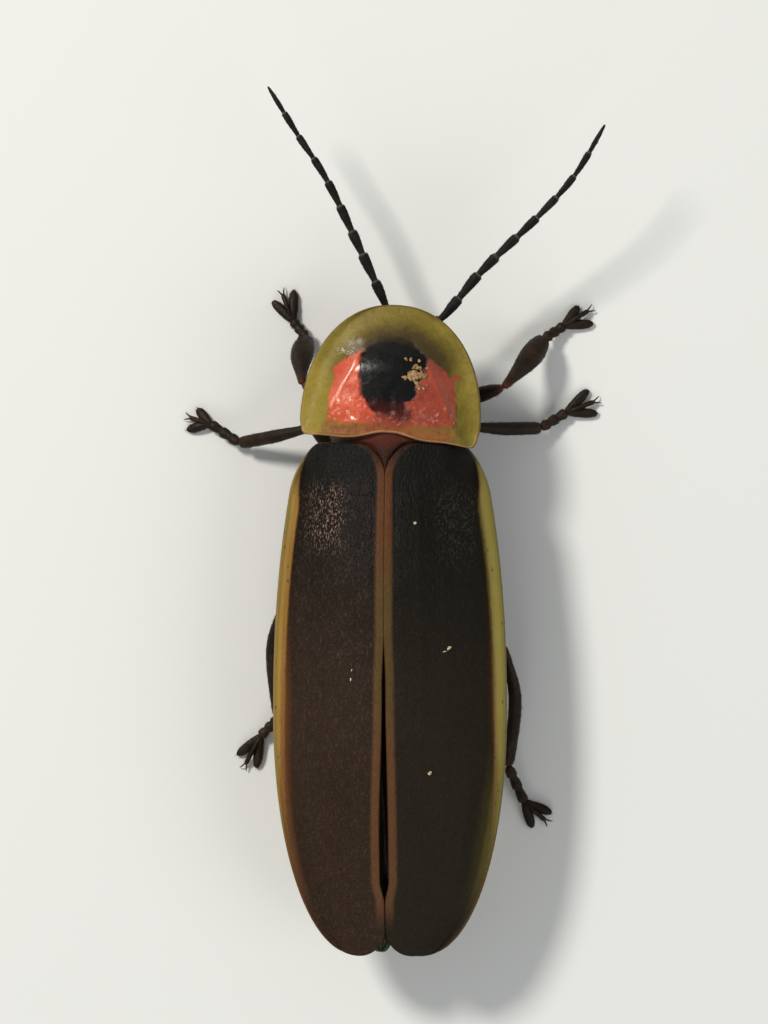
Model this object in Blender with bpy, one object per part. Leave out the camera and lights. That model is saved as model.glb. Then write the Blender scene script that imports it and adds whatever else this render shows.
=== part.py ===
# Life-size firefly, standing still with its wing cases closed and its head under the shield.
# Metres, +Z up, floor at z = 0. The head points along -Y and the animal's own left is +X.
# Sizes below are in millimetres. A station is the distance behind the tip of the shield.
import math

import bmesh
import bpy
from mathutils import Matrix, Vector

MM = 0.001
ORIGIN_STATION = 4.66
CUT = 0.12
JOINT_CUT = 0.045
RING_CUT = 0.08
FLOOR_CUT_DEPTH = 2.0

# Shield over the head
SHIELD_HALF_WIDTH = 1.945
SHIELD_WIDEST = 2.55
SHIELD_LENGTH = 2.89
SHIELD_POWER = 2.15
SHIELD_TURN = math.radians(3.3)
SHIELD_RIM_HEIGHT = 2.42
SHIELD_RIM_RISE = 0.10
SHIELD_CROWN = 0.60
SHIELD_THICKNESS = 0.50
SHIELD_EDGE_THICKNESS = 0.38
SHIELD_CREASE = 0.80
SHIELD_CREASE_FRONT = 1.26
SHIELD_CREASE_SPREAD = 0.46
SHIELD_RIM_BAND = 0.30
SHIELD_CORNER = 0.12
SHIELD_HIND_HALF_WIDTH = 1.90
SHIELD_HIND_ARCH = 0.12
SHIELD_RIGHT_DROOP = 0.10
SHIELD_MIDDLE = (0.0, 1.80)

# Wing cases
CASE_FRONT = 2.96
CASE_TIP = 14.0
CASE_TIP_X = 0.64
CASE_TIP_LEAST_WIDTH = 0.24
CASE_HALF_WIDTH = 2.52
CASE_FRONT_NARROWING = 0.566
CASE_WIDEST = 8.8
SHOULDER_X = 1.45
SHOULDER_RUN = 1.1
CASE_EDGE_HEIGHT = 2.32
CASE_CROWN_HEIGHT = 3.45
CASE_THICKNESS = 0.46
CASE_EDGE_THICKNESS = 0.38
CASE_DOME_REACH = 0.90
SUTURE_HALF_GAP = 0.06
SLIT_HALF_GAP = 0.05
SUTURE_OFFSET = 0.055
SUTURE_DRIFT = 0.03
NOTCH_HALF_WIDTH = 0.92
NOTCH_LENGTH = 0.66

# Folded hind wings between the wing cases and the abdomen
WING_FRONT = 3.75
WING_TIP = 13.75
WING_THICKNESS = 0.34
WING_OVERLAP = 0.34
WING_SHARE = 0.74
WING_TIP_SHIFT = 0.30
WING_VEINS = (0.29, 0.74)
VEIN_WIDTH = 0.05
VEIN_HEIGHT = 0.05

# Trunk
HEAD_X = -0.17
EYE_RADIUS = 0.42
TRUNK_HALF_WIDTH = 1.66
TRUNK_BOTTOM = 1.16
TRUNK_MIDDLE = 1.78
CHEST_BACK = 4.30
SCUTELLUM_BACK = 3.46
SCUTELLUM_HALF_WIDTH = 0.44
SCUTELLUM_HEIGHT = 2.99
SCUTELLUM_THICKNESS = 0.48
ABDOMEN_FRONT = 7.05
ABDOMEN_RINGS_BACK = 13.05
ABDOMEN_TIP = 13.72
ABDOMEN_HALF_WIDTH = 1.92
ABDOMEN_RINGS = 7
LANTERN_RINGS = (5, 6)

# Legs and feelers
END_POWER = 9
FEMUR_THICKNESS = 0.50
TIBIA_THICKNESS = 0.46
FOOT_THICKNESS = 0.40
FEELER_THICKNESS = 0.46
FEELER_SEGMENTS = 11
COXA_RADIUS = 0.34
COXA_END_HEIGHT = 0.62
FEMUR_START = 0.12
LOBE_THICKNESS = 0.30
LAST_SEGMENT_THICKNESS = 0.26
CLAW_LENGTH = 0.16
CLAW_ROOT_THICKNESS = 0.16
CLAW_TIP_THICKNESS = 0.10

BROWN_BLACK = (0.030, 0.021, 0.014, 1.0)
LEG_BROWN = (0.050, 0.026, 0.012, 1.0)
SHIELD_OLIVE = (0.330, 0.190, 0.040, 1.0)
BELLY_BROWN = (0.085, 0.050, 0.022, 1.0)
LANTERN_CREAM = (0.780, 0.720, 0.420, 1.0)
WING_SMOKE = (0.045, 0.038, 0.030, 1.0)
EYE_BLACK = (0.012, 0.010, 0.010, 1.0)
RUST = (0.160, 0.060, 0.025, 1.0)


def clear_scene():
    for item in list(bpy.data.objects):
        bpy.data.objects.remove(item, do_unlink=True)


def make_material(name, colour, roughness, metallic=0.0):
    material = bpy.data.materials.new(name)
    material.use_nodes = True
    shader = material.node_tree.nodes["Principled BSDF"]
    shader.inputs["Base Color"].default_value = colour
    shader.inputs["Roughness"].default_value = roughness
    shader.inputs["Metallic"].default_value = metallic
    material.diffuse_color = colour
    return material


def smooth(low, high, value):
    t = min(1.0, max(0.0, (value - low) / (high - low)))
    return t * t * (3.0 - 2.0 * t)


def mix(a, b, t):
    return a + (b - a) * t


def mesh_object(name, bm, material, root):
    """Closed mesh in millimetres made a named object whose origin is its root."""
    bmesh.ops.triangulate(bm, faces=bm.faces[:])
    bmesh.ops.recalc_face_normals(bm, faces=bm.faces[:])
    if bm.calc_volume(signed=True) < 0:
        bmesh.ops.reverse_faces(bm, faces=bm.faces[:])
    mesh = bpy.data.meshes.new(name)
    bm.to_mesh(mesh)
    bm.free()
    mesh.transform(Matrix.Translation(-Vector(root)))
    mesh.materials.append(material)
    item = bpy.data.objects.new(name, mesh)
    item.location = Vector(root)
    bpy.context.scene.collection.objects.link(item)
    return item


def loft(rings):
    """Closed skin over rings of equally many points. A ring of one point is a pole."""
    bm = bmesh.new()
    loops = [[bm.verts.new(point) for point in ring] for ring in rings]
    for first, second in zip(loops, loops[1:]):
        count = max(len(first), len(second))
        for i in range(count):
            j = (i + 1) % count
            if len(first) == 1:
                bm.faces.new((first[0], second[i], second[j]))
            elif len(second) == 1:
                bm.faces.new((first[i], second[0], first[j]))
            else:
                bm.faces.new((first[i], second[i], second[j], first[j]))
    for end in (loops[0], loops[-1]):
        if len(end) > 1:
            bm.faces.new(end)
    return bm


def spline(points, t):
    """Smooth curve through the points, with t from 0 to 1."""
    last = len(points) - 1
    place = min(max(t, 0.0), 1.0) * last
    i = min(int(place), last - 1)
    u = place - i
    p1 = points[i]
    p2 = points[i + 1]
    p0 = points[i - 1] if i > 0 else p1 * 2.0 - p2
    p3 = points[i + 2] if i + 2 <= last else p2 * 2.0 - p1
    return 0.5 * (
        p1 * 2.0
        + (p2 - p0) * u
        + (p0 * 2.0 - p1 * 5.0 + p2 * 4.0 - p3) * u * u
        + (p1 * 3.0 - p0 - p2 * 3.0 + p3) * u ** 3
    )


def limb(points, width, rings=9, sides=10):
    """Round-ended limb swept along a smooth route, its thickness given along it."""
    route = [Vector(point) for point in points]
    start = route[0]
    end = route[-1]
    sections = [[tuple(start)]]
    for k in range(1, rings):
        t = 0.5 - 0.5 * math.cos(math.pi * k / rings)
        centre = spline(route, t)
        ahead = (spline(route, t + 0.02) - spline(route, t - 0.02)).normalized()
        side = ahead.cross(Vector((0.0, 0.0, 1.0)))
        if side.length < 0.05:
            side = Vector((1.0, 0.0, 0.0))
        side.normalize()
        up = side.cross(ahead)
        round_end = math.sqrt(1.0 - abs(2.0 * t - 1.0) ** END_POWER)
        ring = []
        for n in range(sides):
            angle = 2.0 * math.pi * (n + 0.5) / sides
            outward = side * math.cos(angle) + up * math.sin(angle)
            ring.append(tuple(centre + outward * 0.5 * width(t) * round_end))
        sections.append(ring)
    sections.append([tuple(end)])
    return loft(sections)


def trimmed(points, start_cut, end_cut):
    """The same route made shorter at its two ends."""
    route = [Vector(point) for point in points]
    route[0] = route[0] + (route[1] - route[0]).normalized() * start_cut
    route[-1] = route[-1] + (route[-2] - route[-1]).normalized() * end_cut
    return route


def largest_surface(mesh):
    """Keep only the closed surface with the most faces."""
    bm = bmesh.new()
    bm.from_mesh(mesh)
    left = set(bm.faces)
    groups = []
    while left:
        seed = left.pop()
        group = {seed}
        queue = [seed]
        while queue:
            face = queue.pop()
            for edge in face.edges:
                for other in edge.link_faces:
                    if other in left:
                        left.remove(other)
                        group.add(other)
                        queue.append(other)
        groups.append(group)
    groups.sort(key=len, reverse=True)
    scraps = [face for group in groups[1:] for face in group]
    bmesh.ops.delete(bm, geom=scraps, context="FACES")
    bmesh.ops.triangulate(bm, faces=bm.faces[:])
    bm.to_mesh(mesh)
    bm.free()


def apply_boolean(item, operation, tools):
    group = bpy.data.collections.new("tools_" + item.name)
    bpy.context.scene.collection.children.link(group)
    for tool in tools:
        bpy.context.scene.collection.objects.unlink(tool)
        group.objects.link(tool)
    modifier = item.modifiers.new(operation.title(), "BOOLEAN")
    modifier.operation = operation
    modifier.operand_type = "COLLECTION"
    modifier.collection = group
    modifier.solver = "EXACT"
    graph = bpy.context.evaluated_depsgraph_get()
    result = bpy.data.meshes.new_from_object(item.evaluated_get(graph))
    item.modifiers.clear()
    item.data = result
    for tool in tools:
        bpy.data.objects.remove(tool, do_unlink=True)
    bpy.data.collections.remove(group)
    largest_surface(item.data)


def shield_outline():
    """Half-round front, nearly straight sides, small hind corners and a shallow hind arch."""
    points = []
    front_steps = 18
    for k in range(front_steps + 1):
        angle = math.pi * k / front_steps
        power = 2.0 / SHIELD_POWER
        across = math.copysign(abs(math.cos(angle)) ** power, math.cos(angle))
        along = abs(math.sin(angle)) ** power
        points.append((SHIELD_HALF_WIDTH * across, SHIELD_WIDEST * (1.0 - along)))
    half = SHIELD_HIND_HALF_WIDTH
    corner = SHIELD_CORNER
    points.append((-half, SHIELD_LENGTH - corner))
    hind_steps = 10
    for k in range(hind_steps + 1):
        across = mix(corner - half, half - corner, k / hind_steps)
        arch = SHIELD_HIND_ARCH * (1.0 - smooth(0.1, 0.75, abs(across)))
        droop = SHIELD_RIGHT_DROOP * smooth(1.0, 1.8, -across)
        points.append((across, SHIELD_LENGTH - arch + droop))
    points.append((half, SHIELD_LENGTH - corner))
    return points


def shield_half_width(station):
    if station >= SHIELD_WIDEST:
        return SHIELD_HALF_WIDTH
    along = max(0.0, 1.0 - station / SHIELD_WIDEST)
    return SHIELD_HALF_WIDTH * max(1e-6, 1.0 - along ** SHIELD_POWER) ** (1.0 / SHIELD_POWER)


def shield_top(across, station):
    """Height of the upper face: raised disc with a crease each side, flat turned-up rim."""
    half = shield_half_width(max(station, 0.02))
    side = abs(across)
    widest = max(0.2, half - SHIELD_RIM_BAND)
    crease = SHIELD_CREASE + SHIELD_CREASE_SPREAD * (station - SHIELD_CREASE_FRONT)
    crease = min(max(crease, 0.2), widest)
    if side < crease:
        crown = 1.0 - 0.20 * (side / crease) ** 2
    else:
        past = min(1.0, (side - crease) / max(half - crease, 0.05))
        crown = 0.80 * (1.0 - past) ** 2
    crown *= smooth(-0.05, 1.5, station) * (1.0 - 0.12 * smooth(2.2, 2.9, station))
    rim = SHIELD_RIM_HEIGHT + SHIELD_RIM_RISE * station / SHIELD_LENGTH
    upturn = 0.08 * smooth(0.82, 1.0, side / half)
    groove = 0.03 * math.exp(-((across / 0.10) ** 2)) * smooth(1.6, 2.4, station)
    return rim + upturn + SHIELD_CROWN * crown - groove


def shield_depth(across, station):
    share = min(1.0, abs(across) / max(0.05, shield_half_width(max(station, 0.02))))
    inner = (1.0 - smooth(0.55, 0.95, share)) * smooth(0.1, 0.8, station)
    return mix(SHIELD_EDGE_THICKNESS, SHIELD_THICKNESS, inner)


def turn_shield(across, station, height):
    """From the shield's own frame to the body's. The shield turns about its hind middle."""
    back = station - SHIELD_LENGTH
    x = across * math.cos(SHIELD_TURN) + back * math.sin(SHIELD_TURN)
    y = SHIELD_LENGTH + back * math.cos(SHIELD_TURN) - across * math.sin(SHIELD_TURN)
    return (x, y, height)


def unturn_shield(x, y):
    dy = y - SHIELD_LENGTH
    across = x * math.cos(SHIELD_TURN) - dy * math.sin(SHIELD_TURN)
    back = dy * math.cos(SHIELD_TURN) + x * math.sin(SHIELD_TURN)
    return across, back + SHIELD_LENGTH


def under_shield(x, y):
    """Height of the shield's lower face above a point of the body."""
    across, station = unturn_shield(x, y)
    return shield_top(across, station) - shield_depth(across, station)


def build_shield(material):
    outline = shield_outline()
    centre = SHIELD_MIDDLE
    shares = (0.25, 0.48, 0.66, 0.80, 0.90, 0.97, 1.0)
    top = []
    bottom = []
    for share in shares:
        top_ring = []
        bottom_ring = []
        for across, station in outline:
            u = centre[0] + (across - centre[0]) * share
            v = centre[1] + (station - centre[1]) * share
            high = shield_top(u, v)
            low = high - shield_depth(u, v)
            middle = 0.5 * (high + low)
            rounding = 0.45 if share == 1.0 else (0.9 if share == 0.97 else 1.0)
            top_ring.append(turn_shield(u, v, middle + (high - middle) * rounding))
            bottom_ring.append(turn_shield(u, v, middle + (low - middle) * rounding))
        top.append(top_ring)
        bottom.append(bottom_ring)
    crown = shield_top(*centre)
    rings = [[turn_shield(*centre, crown)]] + top
    rings += bottom[::-1]
    rings.append([turn_shield(*centre, crown - shield_depth(*centre))])
    return mesh_object("pronotum", loft(rings), material, (0.0, SHIELD_LENGTH, 2.8))


def case_side(station):
    """Distance of a wing case's outer edge from the middle, without the rounded shoulder."""
    if station < CASE_WIDEST:
        run = (CASE_WIDEST - station) / (CASE_WIDEST - CASE_FRONT)
        return CASE_HALF_WIDTH - CASE_FRONT_NARROWING * run ** 2.3
    run = min(1.0, (station - CASE_WIDEST) / (CASE_TIP - CASE_WIDEST))
    return CASE_TIP_X + (CASE_HALF_WIDTH - CASE_TIP_X) * (1.0 - run ** 2) ** 0.45


def case_reach(station):
    """Distance of the outer edge from the middle, with the rounded shoulder."""
    side = case_side(station)
    t = (station - CASE_FRONT) / SHOULDER_RUN
    if t >= 1.0:
        return side
    return SHOULDER_X + (side - SHOULDER_X) * math.sqrt(max(0.0, 1.0 - (1.0 - t) ** 2))


def suture_x(station):
    return SUTURE_OFFSET + SUTURE_DRIFT * smooth(9.0, 12.0, station)


def case_inner(station):
    """Distance of the inner edge from the suture: clear of the scutellum, then the slit."""
    slit = SLIT_HALF_GAP * smooth(7.2, 9.2, station) * (1.0 - smooth(11.6, 12.9, station))
    gap = SUTURE_HALF_GAP + slit
    front = NOTCH_HALF_WIDTH * (1.0 - smooth(CASE_FRONT - 0.2, CASE_FRONT + NOTCH_LENGTH, station))
    tip = 0.30 * smooth(CASE_TIP - 0.35, CASE_TIP, station) ** 2
    return gap + front + tip


def case_crown(station):
    front = mix(2.98, CASE_CROWN_HEIGHT, smooth(2.6, 6.2, station))
    return front - (CASE_CROWN_HEIGHT - 2.44) * smooth(8.8, 14.9, station) ** 1.15 * 1.06


def case_edge(station):
    return CASE_EDGE_HEIGHT + 0.08 * (1.0 - smooth(3.0, 5.0, station)) - 0.10 * smooth(11.0, 14.0, station)


def case_top(x, station):
    """Height of the wing cases' upper face: a dome, and an outer edge that flattens."""
    share = abs(x) / max(0.3, case_side(min(station, CASE_TIP - 0.15)))
    dome = max(0.0, 1.0 - (share / CASE_DOME_REACH) ** 2.5)
    upturn = 0.05 * smooth(0.90, 1.0, share)
    shoulder = 0.10 * math.exp(-(((share - 0.66) / 0.16) ** 2)) * (1.0 - smooth(3.4, 5.0, station))
    rise = case_crown(station) - case_edge(station)
    return case_edge(station) + upturn + max(0.0, rise) * dome + shoulder


def case_depth(x, station):
    share = abs(x) / max(0.3, case_side(min(station, CASE_TIP - 0.15)))
    thickness = mix(CASE_THICKNESS, CASE_EDGE_THICKNESS, smooth(0.6, 0.95, share))
    return mix(thickness, 0.30, smooth(CASE_TIP - 1.0, CASE_TIP, station))


def under_case(x, station):
    return case_top(x, station) - case_depth(x, station)


def plate_between(name, stations, inner, outer, top, depth, material, root, columns=11):
    """Curved plate lofted along the body, with rounded edges all round."""
    rings = []
    last = len(stations) - 1
    for k, station in enumerate(stations):
        ends = 0.55 if k in (0, last) else 1.0
        upper = []
        lower = []
        for c in range(columns):
            t = 0.5 - 0.5 * math.cos(math.pi * c / (columns - 1))
            x = mix(inner(station), outer(station), mix(t, c / (columns - 1), 0.45))
            high = top(x, station)
            low = high - depth(x, station)
            middle = 0.5 * (high + low)
            edge = 0.45 if c in (0, columns - 1) else 1.0
            upper.append((x, station, middle + (high - middle) * min(edge, ends)))
            lower.append((x, station, middle + (low - middle) * min(edge, ends)))
        rings.append(upper + lower[::-1])
    return mesh_object(name, loft(rings), material, root)


def eased_stations(front, tip, count, ease=0.55):
    out = []
    for k in range(count):
        t = k / (count - 1)
        out.append(mix(front, tip, mix(t, 0.5 - 0.5 * math.cos(math.pi * t), ease)))
    return out


def build_wing_case(name, side, material):
    stations = eased_stations(CASE_FRONT, CASE_TIP, 30, 0.75)

    def inner(station):
        return suture_x(station) + side * case_inner(station)

    def outer(station):
        return side * max(case_reach(station), case_inner(station) + CASE_TIP_LEAST_WIDTH)

    root = (side * 1.2, CASE_FRONT, 2.6)
    return plate_between(name, stations, inner, outer, case_top, case_depth, material, root)


def wing_top(x, station):
    return under_case(x, station) - CUT


def under_wing(x, station):
    return wing_top(x, station) - WING_THICKNESS


def wing_reach(station):
    return WING_SHARE * case_side(station) * (1.0 - 0.75 * smooth(12.0, 13.8, station))


def build_hind_wing(name, side, material):
    """Folded wing. The right one lies across the middle and the left one beside it."""
    stations = eased_stations(WING_FRONT, WING_TIP, 20)

    def inner(station):
        across = WING_OVERLAP * (1.0 - 0.4 * smooth(12.0, 13.7, station))
        return across + CUT * 0.5 * side

    def outer(station):
        shift = WING_TIP_SHIFT * smooth(12.3, 13.7, station) if side > 0 else 0.0
        return side * wing_reach(station) + shift

    def veined_top(x, station):
        span = outer(station) - inner(station)
        place = (x - inner(station)) / span
        veins = sum(math.exp(-(((place - vein) / VEIN_WIDTH) ** 2)) for vein in WING_VEINS)
        return wing_top(x, station) - VEIN_HEIGHT * (1.0 - veins)

    def depth(x, station):
        return WING_THICKNESS - VEIN_HEIGHT

    root = (side * 0.9, WING_FRONT, 2.5)
    return plate_between(name, stations, inner, outer, veined_top, depth, material, root, 10)


def roof_over(x, station):
    """Lowest thing above the trunk at a point, less the thin cut."""
    if station < CASE_FRONT:
        return under_shield(x, station) - CUT
    roof = under_case(x, station) - CUT
    if WING_FRONT - CUT < station < WING_TIP + CUT and abs(x) < wing_reach(station) + 0.35:
        roof = under_wing(x, station) - CUT
    return roof


def trunk_ring(station, half_width, bottom, middle, top, power=2.2, count=24):
    """One cross section of the trunk, round below and cut by what lies over it."""
    ring = []
    for n in range(count):
        angle = 2.0 * math.pi * (n + 0.5) / count
        c = math.cos(angle)
        s = math.sin(angle)
        x = half_width * math.copysign(abs(c) ** (2.0 / power), c)
        lift = math.copysign(abs(s) ** (2.0 / power), s)
        z = middle + (top - middle) * lift if lift > 0 else middle + (middle - bottom) * lift
        ring.append((x, station, min(z, roof_over(x, station))))
    return ring


def build_trunk_piece(name, front, back, half_width, bottom, middle, top, material, steps=6, power=2.2):
    """Lofted piece of the trunk, with softly rounded front and hind rims."""
    rings = []
    for k in range(steps + 1):
        t = k / steps
        station = mix(front, back, 0.5 - 0.5 * math.cos(math.pi * t))
        rim = 0.90 if k in (0, steps) else 1.0
        wide = half_width(station) * rim
        low = mix(middle(station), bottom(station), rim)
        high = mix(middle(station), top(station), rim)
        rings.append(trunk_ring(station, wide, low, middle(station), high, power))
    return mesh_object(name, loft(rings), material, (0.0, front, middle(front)))


def build_thorax(material, scutellum_material):
    build_trunk_piece(
        "prosternum", 1.76, SHIELD_LENGTH - 0.10,
        lambda s: mix(0.98, 1.30, smooth(1.7, 2.5, s)), lambda s: 1.16,
        lambda s: 1.66, lambda s: 2.30, material,
    )
    build_trunk_piece(
        "mesothorax", SHIELD_LENGTH + 0.04, CHEST_BACK,
        lambda s: mix(1.32, TRUNK_HALF_WIDTH, smooth(2.9, 4.2, s)), lambda s: TRUNK_BOTTOM,
        lambda s: TRUNK_MIDDLE, lambda s: 2.36, material,
    )
    build_trunk_piece(
        "metathorax", CHEST_BACK + RING_CUT, ABDOMEN_FRONT - RING_CUT,
        lambda s: TRUNK_HALF_WIDTH + 0.10 * smooth(4.4, 6.0, s), lambda s: TRUNK_BOTTOM,
        lambda s: TRUNK_MIDDLE, lambda s: 2.50, material,
    )
    front = SHIELD_LENGTH + 0.02
    rings = []
    for k in range(6):
        t = k / 5
        station = mix(front, SCUTELLUM_BACK, t)
        half = SCUTELLUM_HALF_WIDTH * (1.0 - 0.62 * smooth(0.1, 1.0, t))
        middle = SCUTELLUM_HEIGHT - 0.05 * (2.0 * t - 1.0) ** 2 - 0.5 * SCUTELLUM_THICKNESS
        ring = []
        for n in range(12):
            angle = 2.0 * math.pi * (n + 0.5) / 12
            high = middle + 0.5 * SCUTELLUM_THICKNESS * math.sin(angle)
            ring.append((suture_x(station) + half * math.cos(angle), station, high))
        rings.append(ring)
    mesh_object("scutellum", loft(rings), scutellum_material, (0.0, front, 2.75))


def abdomen_half_width(station):
    front = mix(1.72, ABDOMEN_HALF_WIDTH, smooth(7.0, 8.6, station))
    run = max(0.0, (station - 9.0) / (ABDOMEN_TIP + 0.25 - 9.0))
    return front * math.sqrt(max(0.02, 1.0 - run ** 3.0))


def abdomen_bottom(station):
    return mix(1.24, 0.86, smooth(7.0, 9.2, station)) + 0.42 * smooth(11.4, 13.9, station)


def abdomen_middle(station):
    return mix(1.74, 1.50, smooth(7.0, 9.2, station)) + 0.10 * smooth(11.4, 13.9, station)


def abdomen_top(station):
    return 2.30 - 0.30 * smooth(11.5, 13.9, station)


def build_abdomen(material, lantern_material):
    edges = [mix(ABDOMEN_FRONT, ABDOMEN_RINGS_BACK, k / ABDOMEN_RINGS) for k in range(ABDOMEN_RINGS + 1)]
    for k in range(ABDOMEN_RINGS):
        finish = lantern_material if k + 1 in LANTERN_RINGS else material
        front = edges[k] + RING_CUT * 0.5
        back = edges[k + 1] - RING_CUT * 0.5
        build_trunk_piece(
            f"abdomen_ring_{k + 1}", front, back, abdomen_half_width, abdomen_bottom,
            abdomen_middle, abdomen_top, finish, 4,
        )
    build_trunk_piece(
        "abdomen_tip", edges[-1] + RING_CUT * 0.5, ABDOMEN_TIP, abdomen_half_width, abdomen_bottom,
        abdomen_middle, abdomen_top, material, 5,
    )


def ball(centre, sizes, rings=10, sides=16):
    sections = [[(centre[0], centre[1], centre[2] - sizes[2])]]
    for k in range(1, rings):
        tilt = math.pi * k / rings - 0.5 * math.pi
        ring = []
        for n in range(sides):
            angle = 2.0 * math.pi * n / sides
            x = centre[0] + sizes[0] * math.cos(tilt) * math.cos(angle)
            y = centre[1] + sizes[1] * math.cos(tilt) * math.sin(angle)
            ring.append((x, y, centre[2] + sizes[2] * math.sin(tilt)))
        sections.append(ring)
    sections.append([(centre[0], centre[1], centre[2] + sizes[2])])
    return loft(sections)


def build_head(material, eye_material, mouth_material):
    middle = (HEAD_X, 1.15, 1.50)
    skull = mesh_object("head", ball(middle, (0.52, 0.50, 0.50)), material, middle)
    face = mesh_object(
        "face", limb([(HEAD_X, 1.0, 1.45), (HEAD_X, 0.62, 1.20)], lambda t: 0.52), material, middle,
    )
    apply_boolean(skull, "UNION", [face])
    for side, word in ((1, "left"), (-1, "right")):
        eye = (HEAD_X + side * 0.62, 1.16, 1.48)
        socket = mesh_object("socket", ball(eye, (EYE_RADIUS + CUT,) * 3), material, eye)
        apply_boolean(skull, "DIFFERENCE", [socket])
        mesh_object("eye_" + word, ball(eye, (EYE_RADIUS,) * 3), eye_material, eye)
        jaw_start = (HEAD_X + side * 0.20, 0.58, 0.98)
        jaw_end = (HEAD_X + side * 0.06, 0.30, 0.84)
        jaw_bow = (HEAD_X + side * 0.24, 0.42, 0.90)
        jaw = limb([jaw_start, jaw_bow, jaw_end], lambda t: mix(0.20, 0.12, t), 7, 8)
        mesh_object("mandible_" + word, jaw, mouth_material, jaw_start)
        palp_start = (HEAD_X + side * 0.36, 0.78, 0.92)
        palp_end = (HEAD_X + side * 0.50, 0.42, 0.62)
        palp_bend = (HEAD_X + side * 0.50, 0.64, 0.76)
        palp = limb([palp_start, palp_bend, palp_end], lambda t: mix(0.22, 0.28, t), 8, 8)
        mesh_object("palp_" + word, palp, mouth_material, palp_start)


FEELER_ROUTES = {
    "left": [(0.10, 0.52, 1.66), (0.13, 0.00, 1.72), (0.63, -1.12, 1.85), (1.37, -2.68, 2.00),
             (2.00, -3.67, 2.10), (2.65, -4.73, 2.20)],
    "right": [(-0.46, 0.52, 1.66), (-1.13, 0.22, 1.74), (-1.97, -0.75, 1.90), (-3.23, -1.94, 2.20),
              (-3.99, -2.78, 2.40), (-4.64, -3.84, 2.60)],
}


def build_feeler(word, material):
    """Eleven segments, each narrow at its root and wider at its far end."""
    def width(t):
        place = t * FEELER_SEGMENTS
        within = place - math.floor(place)
        flare = 0.84 + 0.20 * smooth(0.0, 0.75, within) - 0.16 * smooth(0.86, 1.0, within)
        return FEELER_THICKNESS * flare * mix(1.0, 0.52, smooth(0.35, 1.0, t))

    route = FEELER_ROUTES[word]
    mesh_object("antenna_" + word, limb(route, width, 5 * FEELER_SEGMENTS, 8), material, route[0])


# Pose of each leg: root of the femur, knee, middle of the shin, ankle, root of the fourth
# foot segment, tips of its two lobes, and the tip of the last segment.
LEG_POSES = {
    "front_left": {
        "hip": (0.52, 2.28, 0.74), "knee": (1.96, 1.68, 1.55), "shin": (2.02, 1.14, 1.02),
        "ankle": (1.97, 0.64, 0.40), "fork": (2.28, 0.26, 0.16),
        "lobes": ((2.74, -0.18, 0.10), (2.27, -0.43, 0.10)), "toe": (2.55, -0.43, 0.10),
    },
    "front_right": {
        "hip": (-0.66, 2.24, 0.74), "knee": (-2.40, 1.76, 1.35), "shin": (-2.87, 1.20, 0.90),
        "ankle": (-3.24, 0.67, 0.40), "fork": (-3.67, 0.38, 0.16),
        "lobes": ((-3.99, -0.05, 0.10), (-4.31, 0.33, 0.10)), "toe": (-4.30, -0.01, 0.10),
    },
    "middle_left": {
        "hip": (0.56, 3.86, 0.74), "knee": (1.76, 2.62, 1.30), "shin": (2.60, 2.80, 0.86),
        "ankle": (3.44, 2.94, 0.38), "fork": (4.11, 2.51, 0.16),
        "lobes": ((4.40, 2.18, 0.10), (4.63, 2.65, 0.10)), "toe": (4.66, 2.35, 0.10),
    },
    "middle_right": {
        "hip": (-0.56, 3.86, 0.74), "knee": (-1.60, 2.60, 1.30), "shin": (-2.38, 2.64, 0.86),
        "ankle": (-3.17, 2.62, 0.38), "fork": (-3.72, 2.27, 0.16),
        "lobes": ((-4.20, 1.78, 0.10), (-4.40, 2.30, 0.10)), "toe": (-4.44, 2.00, 0.10),
    },
    "hind_left": {
        "hip": (0.50, 6.62, 0.70), "knee": (2.30, 6.28, 1.42), "shin": (2.64, 7.42, 1.12),
        "ankle": (2.57, 8.96, 0.40), "fork": (2.99, 9.37, 0.16),
        "lobes": ((3.52, 9.80, 0.10), (3.09, 10.08, 0.10)), "toe": (3.38, 10.09, 0.10),
    },
    "hind_right": {
        "hip": (-0.50, 6.62, 0.70), "knee": (-2.40, 7.34, 1.42), "shin": (-2.64, 8.52, 1.10),
        "ankle": (-2.45, 10.00, 0.40), "fork": (-2.80, 10.80, 0.16),
        "lobes": ((-3.40, 11.04, 0.10), (-2.97, 11.37, 0.10)), "toe": (-3.34, 11.27, 0.10),
    },
}


def build_coxa(name, pose, bottom, material):
    """Short cone under the thorax that carries the femur's root."""
    hip = Vector(pose["hip"])
    side = math.copysign(1.0, hip.x)
    root = Vector((hip.x - side * 0.10, hip.y - 0.02, bottom - CUT))
    end = Vector((hip.x - side * 0.30, hip.y, COXA_END_HEIGHT))
    rings = []
    heights = 5
    for k in range(heights + 1):
        t = k / heights
        centre = root.lerp(end, t)
        radius = COXA_RADIUS * (1.0 - 0.30 * t) * (0.80 if k in (0, heights) else 1.0)
        ring = []
        for n in range(12):
            angle = 2.0 * math.pi * n / 12
            x = centre.x + 0.80 * radius * math.cos(angle)
            ring.append((x, centre.y + radius * math.sin(angle), centre.z))
        rings.append(ring)
    return mesh_object(name, loft(rings), material, root)


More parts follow.
